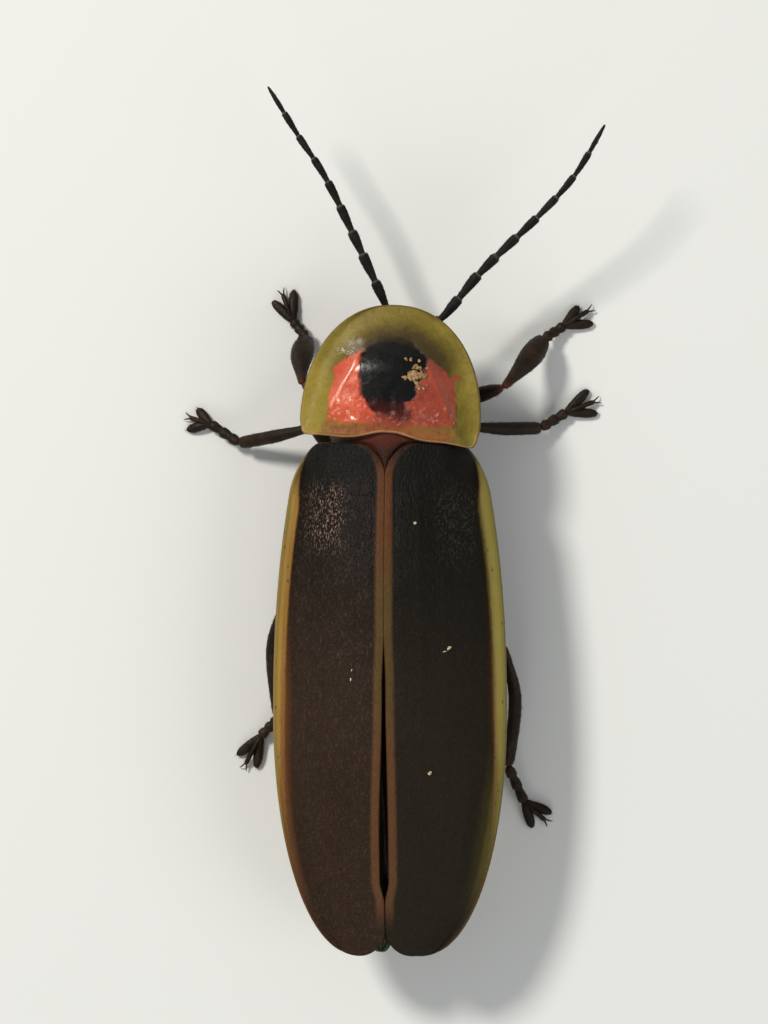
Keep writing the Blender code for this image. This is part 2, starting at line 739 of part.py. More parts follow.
def build_leg(word, material):
    pose = LEG_POSES[word]
    hip = Vector(pose["hip"])
    knee = Vector(pose["knee"])
    ankle = Vector(pose["ankle"])
    shin = Vector(pose["shin"])
    build_coxa("coxa_" + word, pose, TRUNK_BOTTOM, material)

    def femur_width(t):
        return FEMUR_THICKNESS * (0.74 + 0.32 * math.sin(math.pi * min(1.0, t * 1.05)))

    middle = hip.lerp(knee, 0.5) - Vector((0.0, 0.0, 0.06))
    femur = trimmed([hip, middle, knee], FEMUR_START, JOINT_CUT)
    mesh_object("femur_" + word, limb(femur, femur_width), material, femur[0])

    def tibia_width(t):
        return TIBIA_THICKNESS * (0.84 + 0.20 * smooth(0.0, 0.6, t))

    tibia = trimmed([knee, shin, ankle], JOINT_CUT, JOINT_CUT)
    mesh_object("tibia_" + word, limb(tibia, tibia_width), material, tibia[0])
    build_foot(word, pose, material)


def build_foot(word, pose, material):
    """Three short segments, one with two lobes, a slender last one and its two claws."""
    ankle = Vector(pose["ankle"])
    fork = Vector(pose["fork"])
    toe = Vector(pose["toe"])
    start = ankle + (fork - ankle).normalized() * JOINT_CUT
    beads = 3

    def width(t):
        within = t * beads - math.floor(t * beads)
        return FOOT_THICKNESS * (0.86 + 0.20 * smooth(0.0, 0.7, within) - 0.14 * smooth(0.8, 1.0, within))

    run_on = fork + (fork - ankle).normalized() * 0.10
    foot = mesh_object("tarsus_" + word, limb([start, run_on], width, 12, 8), material, start)
    tools = []
    for number, lobe in enumerate(pose["lobes"]):
        tip = Vector(lobe)
        back = fork - (tip - fork).normalized() * 0.06
        lobe_mesh = limb([back, tip], lambda t: LOBE_THICKNESS + 0.04 * math.sin(math.pi * t), 6, 8)
        tools.append(mesh_object(f"lobe_{number}", lobe_mesh, material, back))
    arch = fork.lerp(toe, 0.5) + Vector((0.0, 0.0, 0.05))
    last = limb([fork, arch, toe], lambda t: LAST_SEGMENT_THICKNESS, 7, 8)
    tools.append(mesh_object("last", last, material, fork))
    along = (toe - fork).normalized()
    sideways = along.cross(Vector((0.0, 0.0, 1.0))).normalized()
    for spread in (-1.0, 1.0):
        root = toe - along * 0.06 + sideways * spread * 0.03
        tip = root + along * CLAW_LENGTH + sideways * spread * 0.09
        tip.z = 0.06
        claw = limb([root, tip], lambda t: mix(CLAW_ROOT_THICKNESS, CLAW_TIP_THICKNESS, t), 5, 6)
        tools.append(mesh_object("claw", claw, material, root))
    apply_boolean(foot, "UNION", tools)
    bm = bmesh.new()
    bmesh.ops.create_cube(bm, size=FLOOR_CUT_DEPTH)
    bmesh.ops.translate(bm, vec=Vector((fork.x, fork.y, -0.5 * FLOOR_CUT_DEPTH)), verts=bm.verts[:])
    slab = mesh_object("floor_slab", bm, material, (0.0, 0.0, 0.0))
    apply_boolean(foot, "DIFFERENCE", [slab])
    return foot


def finish_scene():
    """Millimetres to metres, the origin under the middle of the whole, and soft shading."""
    parent = bpy.data.objects.new("firefly", None)
    bpy.context.scene.collection.objects.link(parent)
    for item in list(bpy.data.objects):
        if item.type != "MESH":
            continue
        item.data.transform(Matrix.Scale(MM, 4))
        item.location = (item.location - Vector((0.0, ORIGIN_STATION, 0.0))) * MM
        item.data.shade_smooth()
        item.data.set_sharp_from_angle(angle=math.radians(42.0))
        item.parent = parent


def main():
    clear_scene()
    brown_black = make_material("wing_case_brown", BROWN_BLACK, 0.55)
    leg_brown = make_material("leg_brown", LEG_BROWN, 0.45)
    shield_olive = make_material("shield_olive", SHIELD_OLIVE, 0.35)
    belly = make_material("belly_brown", BELLY_BROWN, 0.50)
    cream = make_material("lantern_cream", LANTERN_CREAM, 0.45)
    smoke = make_material("wing_smoke", WING_SMOKE, 0.30)
    eye_black = make_material("eye_black", EYE_BLACK, 0.12)
    rust = make_material("rust_brown", RUST, 0.40)
    build_shield(shield_olive)
    build_head(belly, eye_black, rust)
    build_thorax(belly, rust)
    build_abdomen(belly, cream)
    for side, word in ((1, "left"), (-1, "right")):
        build_wing_case("elytron_" + word, side, brown_black)
        build_hind_wing("hindwing_" + word, side, smoke)
        build_feeler(word, brown_black)
    for word in LEG_POSES:
        build_leg(word, leg_brown)
    finish_scene()


main()
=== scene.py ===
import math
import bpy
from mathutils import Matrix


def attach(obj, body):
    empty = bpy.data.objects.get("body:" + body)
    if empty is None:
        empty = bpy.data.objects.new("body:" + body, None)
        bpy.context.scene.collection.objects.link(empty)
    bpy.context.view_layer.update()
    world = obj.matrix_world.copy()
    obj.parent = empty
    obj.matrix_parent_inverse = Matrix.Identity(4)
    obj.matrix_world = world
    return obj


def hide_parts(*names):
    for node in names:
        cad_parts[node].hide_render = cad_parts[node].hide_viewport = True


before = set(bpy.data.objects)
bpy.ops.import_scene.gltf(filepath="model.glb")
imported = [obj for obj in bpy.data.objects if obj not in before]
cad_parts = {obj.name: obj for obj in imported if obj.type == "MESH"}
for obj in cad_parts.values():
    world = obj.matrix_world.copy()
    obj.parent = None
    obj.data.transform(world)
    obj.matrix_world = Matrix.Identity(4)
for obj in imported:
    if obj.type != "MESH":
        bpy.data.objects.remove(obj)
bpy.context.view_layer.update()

# Firefly seen from above, life-size. Shapes are worked out in millimetres and written in metres.
# A station is the distance behind the tip of the shield. The head points along -Y, own left is +X.
from types import SimpleNamespace

import bmesh
import bpy
import numpy as np
from mathutils import Matrix, Vector

MM = 0.001
ORIGIN_STATION = 4.66
STATION_SHIFT = (0.0, ORIGIN_STATION, 0.0)
SIDES = (("left", 1), ("right", -1))

# Shield, in its own turned frame
SHIELD_HALF_WIDTH = 1.945
SHIELD_WIDEST = 2.55
SHIELD_LENGTH = 2.89
SHIELD_POWER = 2.15
SHIELD_TURN = math.radians(3.3)
SHIELD_RIM_HEIGHT = 2.42
SHIELD_RIM_RISE = 0.10
SHIELD_CROWN = 0.60
SHIELD_CREASE = 0.80
SHIELD_CREASE_FRONT = 1.26
SHIELD_CREASE_SPREAD = 0.46
SHIELD_CORNER = 0.13
SHIELD_SIDE_END = 2.70
SHIELD_HIND_HALF_WIDTH = 1.90
SHIELD_HIND_ARCH = 0.12
SHIELD_RIGHT_DROOP = 0.10
SHIELD_MIDDLE = (0.0, 1.80)
SHIELD_EDGE_ROUND = 0.045
UNDER_SHIELD = 0.22

# Wing cases
CASE_FRONT = 2.96
CASE_TIP = 14.0
CASE_HALF_WIDTH = 2.52
CASE_FRONT_NARROWING = 0.566
CASE_TIP_X = 0.64
CASE_WIDEST = 8.8
NOTCH_HALF_WIDTH = 0.75
NOTCH_LENGTH = 0.75
SHOULDER_X = 1.45
SHOULDER_RUN = 1.1
SEAM_X = 0.055
SEAM_DRIFT = 0.03
CASE_EDGE_HEIGHT = 2.32
CASE_FRONT_HEIGHT = 2.98
CASE_CROWN_HEIGHT = 3.45
CASE_TIP_HEIGHT = 2.44
CASE_DOME_REACH = 0.90
CASE_THICKNESS = 0.14
CASE_ROWS = 190
CASE_COLUMNS = 64
SEAM_BAND = 0.185
MARGIN_LEFT = 0.245
MARGIN_RIGHT = 0.305

# Hind wings
WING_FRONT = 3.8
WING_TIP = 13.92
WING_SEAM_X = 0.20
WING_SEAM_GAP = 0.002
WING_TIP_HALF_WIDTH = 0.28
WING_THICKNESS = 0.05

# Head, trunk and lantern
HEAD_X = -0.17
HEAD_FRONT = 0.55
HEAD_BACK = 1.64
EYE_STATION = 1.16
EYE_HEIGHT = 1.48
EYE_RADIUS = 0.42
PALP_WIDTHS = (0.10, 0.12, 0.13, 0.19)
TRUNK_FRONT = 1.5
TRUNK_HALF_WIDTH = 1.66
TRUNK_BOTTOM = 1.16
TRUNK_MIDDLE = 1.78
TRUNK_POWER = 2.2
CHEST_SEAMS = (2.86, 4.34)
ABDOMEN_FRONT = 7.05
ABDOMEN_RINGS_BACK = 13.05
ABDOMEN_TIP = 13.72
ABDOMEN_HALF_WIDTH = 1.92
ABDOMEN_RINGS = 7
LANTERN_RINGS = (5, 6)
LANTERN_CENTRE = (0.0, 0.0, 1.6)
SCUTELLUM_FRONT = 2.70
SCUTELLUM_TIP = 3.80

FEELER_SEGMENTS = (0.42, 0.22, 0.62, 0.64, 0.54, 0.61, 0.58, 0.59, 0.57, 0.58, 0.68)
FEELER_WIDTH = 0.225
FEELER_SIDES = 18
FLOOR_CLEARANCE = 0.004

# Hairs: how much of the map each one takes, and then for each skin the number on a square
# millimetre, length, thickness, lift and stray
HAIR_PATCH = 0.003
SHIELD_HAIRS = (22, 0.060, 0.008, 0.30, 0.30)
CASE_HAIRS = (330, 0.105, 0.010, 0.09, 0.13)
TRUNK_HAIRS = (55, 0.12, 0.011, 0.30, 0.22)
SCUTELLUM_HAIRS = (60, 0.08, 0.010, 0.30, 0.25)
HEAD_HAIRS = (60, 0.09, 0.010, 0.45, 0.30)
FEELER_HAIRS = (420, 0.055, 0.008, 0.55, 0.25)
LEG_HAIRS = (190, 0.095, 0.009, 0.45, 0.28)


def smooth(low, high, value):
    """0 below low and 1 above high, smoothly."""
    t = np.clip((value - low) / (high - low), 0.0, 1.0)
    return t * t * (3.0 - 2.0 * t)


def mix(a, b, t):
    """From a to b as t goes from 0 to 1."""
    return a + (b - a) * t


def hump(value, centre, width):
    """1 at the centre, falling away to both sides."""
    return np.exp(-(((value - centre) / width) ** 2))


def quarter_round(share):
    """Rises from 0 to 1 as a quarter circle does, and stays at 1."""
    return np.sqrt(np.clip(1.0 - (1.0 - np.minimum(share, 1.0)) ** 2, 0.0, 1.0))


def round_ends(t, power):
    """1 along the middle, falling round to 0 at both ends."""
    return np.sqrt(np.clip(1.0 - np.abs(2.0 * t - 1.0) ** power, 0.0, 1.0))


def signed_power(value, power):
    """The size raised to the power, with the sign kept."""
    return np.sign(value) * np.abs(value) ** power


def ring_angles(count):
    """Even angles round a ring."""
    return 2.0 * math.pi * np.arange(count) / count


def around(values, columns):
    """One value a ring, repeated round the ring."""
    return np.repeat(values[:, None], columns, axis=1)


def beads(t, count):
    """Number of the bead at each t, and how far along that bead it lies."""
    place = np.clip(t, 0.0, 0.9999) * count
    number = np.floor(place)
    return number.astype(int), place - number


# Meshes


def add_attribute(mesh, name, values, kind="FLOAT"):
    layer = mesh.attributes.new(name, kind, "POINT")
    field = "vector" if kind == "FLOAT_VECTOR" else "value"
    layer.data.foreach_set(field, np.asarray(values, dtype=np.float32).ravel())


def skin_faces(rows, columns, cap):
    """Faces over the rings and their corners on the map. A fan or a strip closes each end."""
    faces = []
    places = []
    for r in range(rows - 1):
        low = r / (rows - 1)
        high = (r + 1) / (rows - 1)
        for c in range(columns):
            d = (c + 1) % columns
            faces.append((r * columns + c, r * columns + d, (r + 1) * columns + d, (r + 1) * columns + c))
            near = c / columns
            far = (c + 1) / columns
            places.append(((near, low), (far, low), (far, high), (near, high)))
    for end in (0, 1):
        first = end * (rows - 1) * columns
        if cap == "fan":
            pole = rows * columns + end
            for c in range(columns):
                faces.append((first + c, first + (c + 1) % columns, pole))
                places.append(((c / columns, end), ((c + 1) / columns, end), (c / columns, end)))
        else:
            for c in range(columns // 2 - 1):
                mirror = columns - 1 - c
                faces.append((first + c, first + c + 1, first + mirror - 1, first + mirror))
                places.append(((c / columns, end),) * 4)
    return faces, places


def lie_along(rings):
    """Direction along the piece at each point."""
    lie = np.zeros_like(rings)
    lie[1:-1] = rings[2:] - rings[:-2]
    lie[0] = rings[1] - rings[0]
    lie[-1] = rings[-1] - rings[-2]
    return lie / np.maximum(np.linalg.norm(lie, axis=2, keepdims=True), 1e-9)


def turn_outwards(mesh):
    """Merges doubled points and turns every face outwards."""
    bm = bmesh.new()
    bm.from_mesh(mesh)
    bmesh.ops.remove_doubles(bm, verts=bm.verts[:], dist=1e-5)
    bmesh.ops.recalc_face_normals(bm, faces=bm.faces[:])
    if bm.calc_volume(signed=True) < 0:
        bmesh.ops.reverse_faces(bm, faces=bm.faces[:])
    bm.to_mesh(mesh)
    bm.free()


def grid_mesh(name, rings, cap, extras=None):
    """Closed skin over an array of rings. Each ring is a closed loop of equally many points."""
    rows, columns, _ = rings.shape
    points = rings.reshape(-1, 3)
    if cap == "fan":
        points = np.vstack([points, rings[0].mean(axis=0), rings[-1].mean(axis=0)])
    faces, places = skin_faces(rows, columns, cap)
    mesh = bpy.data.meshes.new(name)
    mesh.from_pydata(points.tolist(), [], faces)
    layer = mesh.uv_layers.new(name="unwrap")
    layer.data.foreach_set("uv", np.array([uv for corners in places for uv in corners]).ravel())
    poles = len(points) - rows * columns
    lie = np.vstack([lie_along(rings).reshape(-1, 3), np.zeros((poles, 3))])
    add_attribute(mesh, "lie", lie, "FLOAT_VECTOR")
    for key, values in (extras or {}).items():
        add_attribute(mesh, key, np.concatenate([values.ravel(), np.zeros(poles)]))
    turn_outwards(mesh)
    mesh.shade_smooth()
    return mesh


def join_meshes(name, meshes):
    """Several closed skins in one mesh, with their maps and attributes kept."""
    objects = [bpy.data.objects.new(name, mesh) for mesh in meshes]
    for item in objects:
        bpy.context.scene.collection.objects.link(item)
    first = objects[0]
    with bpy.context.temp_override(
        active_object=first, object=first,
        selected_objects=objects, selected_editable_objects=objects,
    ):
        bpy.ops.object.join()
    mesh = first.data
    bpy.data.objects.remove(first, do_unlink=True)
    return mesh


def spline(points, t):
    """Smooth curve through the points at each t from 0 to 1."""
    points = np.asarray(points, dtype=float)
    ends = np.vstack([2 * points[0] - points[1], points, 2 * points[-1] - points[-2]])
    last = len(points) - 1
    place = np.clip(t, 0.0, 1.0) * last
    i = np.minimum(place.astype(int), last - 1)
    u = (place - i)[:, None]
    p0, p1, p2, p3 = ends[i], ends[i + 1], ends[i + 2], ends[i + 3]
    return 0.5 * (
        2 * p1 + (p2 - p0) * u + (2 * p0 - 5 * p1 + 4 * p2 - p3) * u ** 2
        + (3 * p1 - p0 - 3 * p2 + p3) * u ** 3
    )


def tube(points, width, height, rings, sides, power=9.0, even=0.3):
    """Rings of a round-ended limb along a smooth route, its width and height given along it."""
    height = height or width
    k = np.linspace(0.0, 1.0, rings)
    t = mix(0.5 - 0.5 * np.cos(math.pi * k), k, even)
    t = 0.002 + 0.996 * t
    centre = spline(points, t)
    ahead = spline(points, t + 0.01) - spline(points, t - 0.01)
    ahead /= np.linalg.norm(ahead, axis=1, keepdims=True)
    side = np.cross(ahead, [0.0, 0.0, 1.0])
    side /= np.maximum(np.linalg.norm(side, axis=1, keepdims=True), 1e-6)
    up = np.cross(side, ahead)
    angle = ring_angles(sides)
    wide = (width(t) * round_ends(t, power) * 0.5)[:, None, None]
    high = (height(t) * round_ends(t, power) * 0.5)[:, None, None]
    return (
        centre[:, None, :]
        + wide * np.cos(angle)[None, :, None] * side[:, None, :]
        + high * np.sin(angle)[None, :, None] * up[:, None, :]
    )


def on_floor(rings):
    """The same rings with nothing below the floor."""
    rings = np.array(rings)
    rings[..., 2] = np.maximum(rings[..., 2], FLOOR_CLEARANCE)
    return rings


def place_piece(name, mesh, nodes, material=None):
    """Finished piece: millimetres to metres, its place in its mesh, riding on the one body."""
    mesh.transform(Matrix.Scale(MM, 4) @ Matrix.Translation((0.0, -ORIGIN_STATION, 0.0)))
    if material:
        mesh.materials.clear()
        mesh.materials.append(material)
    item = bpy.data.objects.new(name, mesh)
    bpy.context.scene.collection.objects.link(item)
    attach(item, "root")
    if nodes:
        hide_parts(*nodes)


# Short hairs, by Geometry Nodes


def hair_tree():
    """Scatters short bent hairs that lie along the skin's own lie, each on its patch of the map."""
    tree = bpy.data.node_groups.new("short hairs", "GeometryNodeTree")
    kinds = {"Geometry": "Geometry", "Seed": "Int", "Finish": "Material"}
    for name in ("Geometry", "Per square mm", "Length", "Thickness", "Lift", "Stray", "Seed", "Finish"):
        kind = "NodeSocket" + kinds.get(name, "Float")
        tree.interface.new_socket(name, in_out="INPUT", socket_type=kind)
    tree.interface.new_socket("Geometry", in_out="OUTPUT", socket_type="NodeSocketGeometry")

    def node(kind, settings=None, inputs=None):
        made = tree.nodes.new(kind)
        for key, value in (settings or {}).items():
            setattr(made, key, value)
        for key, value in (inputs or {}).items():
            socket = made.inputs[key]
            if isinstance(value, bpy.types.NodeSocket):
                tree.links.new(value, socket)
            else:
                socket.default_value = value
        return made

    def maths(operation, a, b):
        return node("ShaderNodeMath", {"operation": operation}, {0: a, 1: b}).outputs[0]

    def vectors(operation, a, b=None, scale=None):
        inputs = {0: a}
        if b is not None:
            inputs[1] = b
        if scale is not None:
            inputs["Scale"] = scale
        return node("ShaderNodeVectorMath", {"operation": operation}, inputs).outputs[0]

    def attribute(name, kind="FLOAT_VECTOR"):
        made = node("GeometryNodeInputNamedAttribute", {"data_type": kind}, {"Name": name})
        return made.outputs["Attribute"]

    given = node("NodeGroupInput").outputs
    density = maths("MULTIPLY", given["Per square mm"], attribute("cover", "FLOAT"))
    scatter = node("GeometryNodeDistributePointsOnFaces", None, {
        "Mesh": given["Geometry"], "Density": density, "Seed": given["Seed"],
    })
    stray = node("FunctionNodeRandomValue", {"data_type": "FLOAT_VECTOR"}, {
        "Min": (-1.0, -1.0, -1.0), "Max": (1.0, 1.0, 1.0), "Seed": given["Seed"],
    })
    lifted = vectors("SCALE", scatter.outputs["Normal"], None, given["Lift"])
    strayed = vectors("SCALE", stray.outputs[0], None, given["Stray"])
    ahead = vectors("NORMALIZE", vectors("ADD", vectors("ADD", attribute("lie"), lifted), strayed))
    turned = node("FunctionNodeAxesToRotation", {"primary_axis": "Z", "secondary_axis": "X"}, {
        "Primary Axis": ahead, "Secondary Axis": scatter.outputs["Normal"],
    })
    cone = node("GeometryNodeMeshCone", {"fill_type": "TRIANGLE_FAN"}, {
        "Vertices": 3, "Side Segments": 2, "Radius Top": 0.0,
        "Radius Bottom": maths("MULTIPLY", given["Thickness"], 0.5), "Depth": given["Length"],
    })
    place = node("GeometryNodeInputPosition").outputs[0]
    split = node("ShaderNodeSeparateXYZ", None, {0: place})
    share = maths("DIVIDE", split.outputs["Z"], given["Length"])
    bend = maths("MULTIPLY", maths("MULTIPLY", maths("MULTIPLY", share, share), -0.28), given["Length"])
    bent = node("GeometryNodeSetPosition", None, {
        "Geometry": cone.outputs["Mesh"],
        "Offset": node("ShaderNodeCombineXYZ", None, {"X": bend}).outputs[0],
    })
    along_patch = node("ShaderNodeCombineXYZ", None, {
        "X": maths("DIVIDE", split.outputs["X"], given["Thickness"]), "Y": share,
    }).outputs[0]
    marked = node("GeometryNodeStoreNamedAttribute", {"data_type": "FLOAT_VECTOR", "domain": "POINT"}, {
        "Geometry": bent.outputs["Geometry"], "Name": "patch",
        "Value": vectors("SCALE", along_patch, None, HAIR_PATCH),
    })
    size = node("FunctionNodeRandomValue", {"data_type": "FLOAT"}, {
        "Min": 0.62, "Max": 1.15, "Seed": maths("ADD", given["Seed"], 3.0),
    })
    copies = node("GeometryNodeInstanceOnPoints", None, {
        "Points": scatter.outputs["Points"], "Instance": marked.outputs["Geometry"],
        "Rotation": turned.outputs["Rotation"], "Scale": size.outputs["Value"],
    })
    real = node("GeometryNodeRealizeInstances", None, {"Geometry": copies.outputs["Instances"]})
    mapped = node("GeometryNodeStoreNamedAttribute", {"data_type": "FLOAT2", "domain": "CORNER"}, {
        "Geometry": real.outputs["Geometry"], "Name": "OFBake",
        "Value": vectors("ADD", attribute("unwrap"), attribute("patch")),
    })
    finished = node("GeometryNodeSetMaterial", None, {
        "Geometry": mapped.outputs["Geometry"], "Material": given["Finish"],
    })
    end = node("NodeGroupOutput")
    tree.links.new(finished.outputs["Geometry"], end.inputs["Geometry"])
    return tree


HAIRS = hair_tree()


def grow_hairs(name, skin, material, hairs, seed):
    """Hairs on a skin that is still in millimetres, turned into one plain mesh."""
    per_square_mm, length, thickness, lift, stray = hairs
    item = bpy.data.objects.new(name + "_bed", skin)
    bpy.context.scene.collection.objects.link(item)
    modifier = item.modifiers.new("Hairs", "NODES")
    modifier.node_group = HAIRS
    sizes = {
        "Per square mm": float(per_square_mm), "Length": length, "Thickness": thickness,
        "Lift": lift, "Stray": stray, "Seed": seed, "Finish": material,
    }
    for socket in HAIRS.interface.items_tree:
        if socket.in_out == "INPUT" and socket.name in sizes:
            modifier[socket.identifier] = sizes[socket.name]
    graph = bpy.context.evaluated_depsgraph_get()
    mesh = bpy.data.meshes.new_from_object(item.evaluated_get(graph))
    item.modifiers.clear()
    bpy.data.objects.remove(item, do_unlink=True)
    mesh.name = name
    for spare in ("lie", "cover", "patch", "unwrap"):
        if spare in mesh.attributes:
            mesh.attributes.remove(mesh.attributes[spare])
    mesh.shade_smooth()
    place_piece(name, mesh, ())


# Materials


class Tone:
    """A shader socket that takes part in ordinary arithmetic."""

    def __init__(self, paint, socket):
        self.paint = paint
        self.socket = socket

    def maths(self, operation, other=0.0, clamp=False):
        settings = {"operation": operation, "use_clamp": clamp}
        return self.paint.node("ShaderNodeMath", settings, {0: self, 1: other})

    def __add__(self, other):
        return self.maths("ADD", other)

    __radd__ = __add__

    def __mul__(self, other):
        return self.maths("MULTIPLY", other)

    __rmul__ = __mul__

    def __sub__(self, other):
        return self.maths("SUBTRACT", other)

    def __rsub__(self, other):
        return self.paint.node("ShaderNodeMath", {"operation": "SUBTRACT"}, {0: other, 1: self})

    def __abs__(self):
        return self.maths("ABSOLUTE")

    def power(self, exponent):
        return self.maths("POWER", exponent)

    def held(self):
        """Kept from 0 to 1."""
        return self.maths("ADD", clamp=True)

    def rise(self, low, high):
        """0 below low and 1 above high, smoothly."""
        return self.paint.node(
            "ShaderNodeMapRange", {"interpolation_type": "SMOOTHSTEP"},
            {"Value": self, "From Min": low, "From Max": high, "To Min": 0.0, "To Max": 1.0},
        )

    def fall(self, low, high):
        return 1.0 - self.rise(low, high)

    def band(self, centre, width):
        """1 near the centre and 0 farther from it than the width."""
        return abs(self - centre).fall(width * 0.3, width)


class Paint:
    """A material's nodes, each made by one call."""

    def __init__(self, name):
        self.material = bpy.data.materials.new(name)
        self.material.use_nodes = True
        self.tree = self.material.node_tree
        self.shader = self.tree.nodes["Principled BSDF"]

    def node(self, kind, settings=None, inputs=None, output=0):
        made = self.tree.nodes.new(kind)
        for key, value in (settings or {}).items():
            setattr(made, key, value)
        self.fill(made, inputs or {})
        return Tone(self, made.outputs[output])

    def fill(self, made, inputs):
        for key, value in inputs.items():
            socket = made.inputs[key]
            if isinstance(value, Tone):
                self.tree.links.new(value.socket, socket)
            else:
                socket.default_value = value

    def place(self, turn=0.0, shift=STATION_SHIFT):
        """Place on the piece in millimetres, with the station as Y."""
        spot = self.node("ShaderNodeTexCoord", None, None, "Object")
        return self.node("ShaderNodeMapping", {"vector_type": "POINT"}, {
            "Vector": spot, "Location": shift, "Rotation": (0.0, 0.0, turn),
            "Scale": (1.0 / MM, 1.0 / MM, 1.0 / MM),
        })

    def parts(self, vector):
        made = self.tree.nodes.new("ShaderNodeSeparateXYZ")
        self.fill(made, {0: vector})
        return [Tone(self, socket) for socket in made.outputs]

    def stretch(self, vector, sizes):
        return self.node("ShaderNodeVectorMath", {"operation": "MULTIPLY"}, {0: vector, 1: sizes})

    def value(self, name):
        return self.node("ShaderNodeAttribute", {"attribute_name": name}, None, "Fac")

    def noise(self, vector, scale, detail=3.0, roughness=0.55):
        return self.node("ShaderNodeTexNoise", None, {
            "Vector": vector, "Scale": scale, "Detail": detail, "Roughness": roughness,
        }, "Fac")

    def cells(self, vector, scale, feature="F1"):
        inputs = {"Vector": vector, "Scale": scale}
        return self.node("ShaderNodeTexVoronoi", {"feature": feature}, inputs, "Distance")

    def blend(self, first, second, share):
        """Colour between two colours."""
        made = self.tree.nodes.new("ShaderNodeMix")
        made.data_type = "RGBA"
        self.fill(made, {0: share, 6: first, 7: second})
        return Tone(self, made.outputs[2])

    def over(self, base, *coats):
        """The base with each coat laid over it in turn: a colour, and where it shows."""
        for tint, share in coats:
            base = self.blend(base, tint, share)
        return base

    def bump(self, height, distance, strength=1.0):
        inputs = {"Height": height, "Distance": distance * MM, "Strength": strength}
        return self.node("ShaderNodeBump", None, inputs, "Normal")

    def finish(self, varied, fixed):
        """Sets what varies over the surface as links and what doesn't as numbers."""
        self.fill(self.shader, varied)
        self.fill(self.shader, fixed)
        return self.material


def colour(red, green, blue):
    """A colour given as the eye reads it on a screen, from 0 to 255, made linear."""
    levels = []
    for level in (red, green, blue):
        part = level / 255.0
        levels.append(part / 12.92 if part <= 0.04045 else ((part + 0.055) / 1.055) ** 2.4)
    return (*levels, 1.0)


# What differs between the left wing case, 1, and the right one, -1, much of it painted light and shade:
# the left case is painted lighter and browner, as lit from the left, and the right darker and more olive.
# The glint colour, strength, place and run set a patch of painted highlights near the shoulder. The glow is
# a
# warm strip inside the margin: its width in front, how much it grows, and the stations between which it
# grows.
CASE_LOOKS = {
    1: {
        "front": colour(17, 14, 11), "back": colour(47, 34, 24),
        "speck": colour(92, 68, 52), "specked": 0.42,
        "painted_glint": colour(156, 126, 108), "painted_glint_strength": 0.62, "painted_glint_place": (1.36, 4.55), "painted_glint_run": 0.95,
        "warm": colour(104, 66, 36), "warm_behind": colour(104, 66, 36), "glow": (0.0, 0.20, 5.0, 9.0),
        "margin": MARGIN_LEFT, "pale": colour(174, 138, 60), "deep": colour(146, 102, 46),
        "inner": colour(138, 88, 46), "outer": colour(110, 98, 42),
    },
    -1: {
        "front": colour(15, 14, 10), "back": colour(34, 28, 18),
        "speck": colour(58, 50, 34), "specked": 0.28,
        "painted_glint": colour(106, 100, 78), "painted_glint_strength": 0.28, "painted_glint_place": (-1.50, 4.70), "painted_glint_run": 1.15,
        "warm": colour(74, 46, 25), "warm_behind": colour(78, 70, 30), "glow": (0.10, 0.30, 9.0, 11.5),
        "margin": MARGIN_RIGHT, "pale": colour(126, 114, 52), "deep": colour(104, 94, 44),
        "inner": colour(100, 70, 38), "outer": colour(96, 92, 42),
    },
}


def case_place(paint):
    """Where a point lies on a wing case, and the noises that its markings share."""
    spot = paint.place()
    across, station, _ = paint.parts(spot)
    streak = paint.noise(paint.stretch(spot, (18.0, 5.0, 18.0)), 1.0, 3.0, 0.6)
    fine = paint.noise(spot, 22.0, 3.0, 0.7)
    return SimpleNamespace(
        spot=spot, across=across, station=station, edge=paint.value("edge"), seam=paint.value("seam"),
        broad=paint.noise(paint.stretch(spot, (1.6, 0.35, 1.0)), 1.0, 4.0), streak=streak, fine=fine,
        spark=paint.noise(paint.stretch(spot, (40.0, 15.0, 40.0)), 1.0, 2.0, 0.6),
        ragged=(fine - 0.5) * 0.06 + (streak - 0.5) * 0.05,
    )


def case_field(paint, at, look, past):
    """Dark skin, browner behind and warm near the margin, with a patch of painted glints at the shoulder.
    """
    station = at.station
    freckled = (at.spark * 0.6 + at.streak * 0.4 - 0.52).rise(0.0, 0.12) * station.rise(3.5, 4.2)
    # Painted highlight: a patch of lighter glints near the shoulder; the same mask also sets Metallic.
    painted_glint_x, painted_glint_station = look["painted_glint_place"]
    painted_glint = (at.across - painted_glint_x).band(0.0, 0.62) * (station - painted_glint_station).band(0.0, look["painted_glint_run"])
    painted_glint = painted_glint * (at.spark * 0.7 + at.streak * 0.3 - 0.52).rise(0.0, 0.10) * look["painted_glint_strength"]
    narrow, growth, start, end = look["glow"]
    glow_width = narrow + growth * station.rise(start, end)
    glow = (past + at.ragged).fall(-0.02, glow_width + 0.04) * station.fall(11.8, 13.4)
    warm = paint.blend(look["warm"], look["warm_behind"], station.rise(9.2, 10.8))
    field = paint.over(
        look["front"],
        (look["back"], (station.rise(3.8, 9.5) * 0.95 + (at.broad - 0.5) * 0.5).held()),
        (look["speck"], freckled * look["specked"]),
        (colour(10, 8, 6), (0.50 - at.fine).rise(0.0, 0.2) * 0.45),
        (look["painted_glint"], painted_glint),
        (warm, glow * (0.10 + 0.70 * station.rise(5.5, 9.0))),
    )
    return field, painted_glint


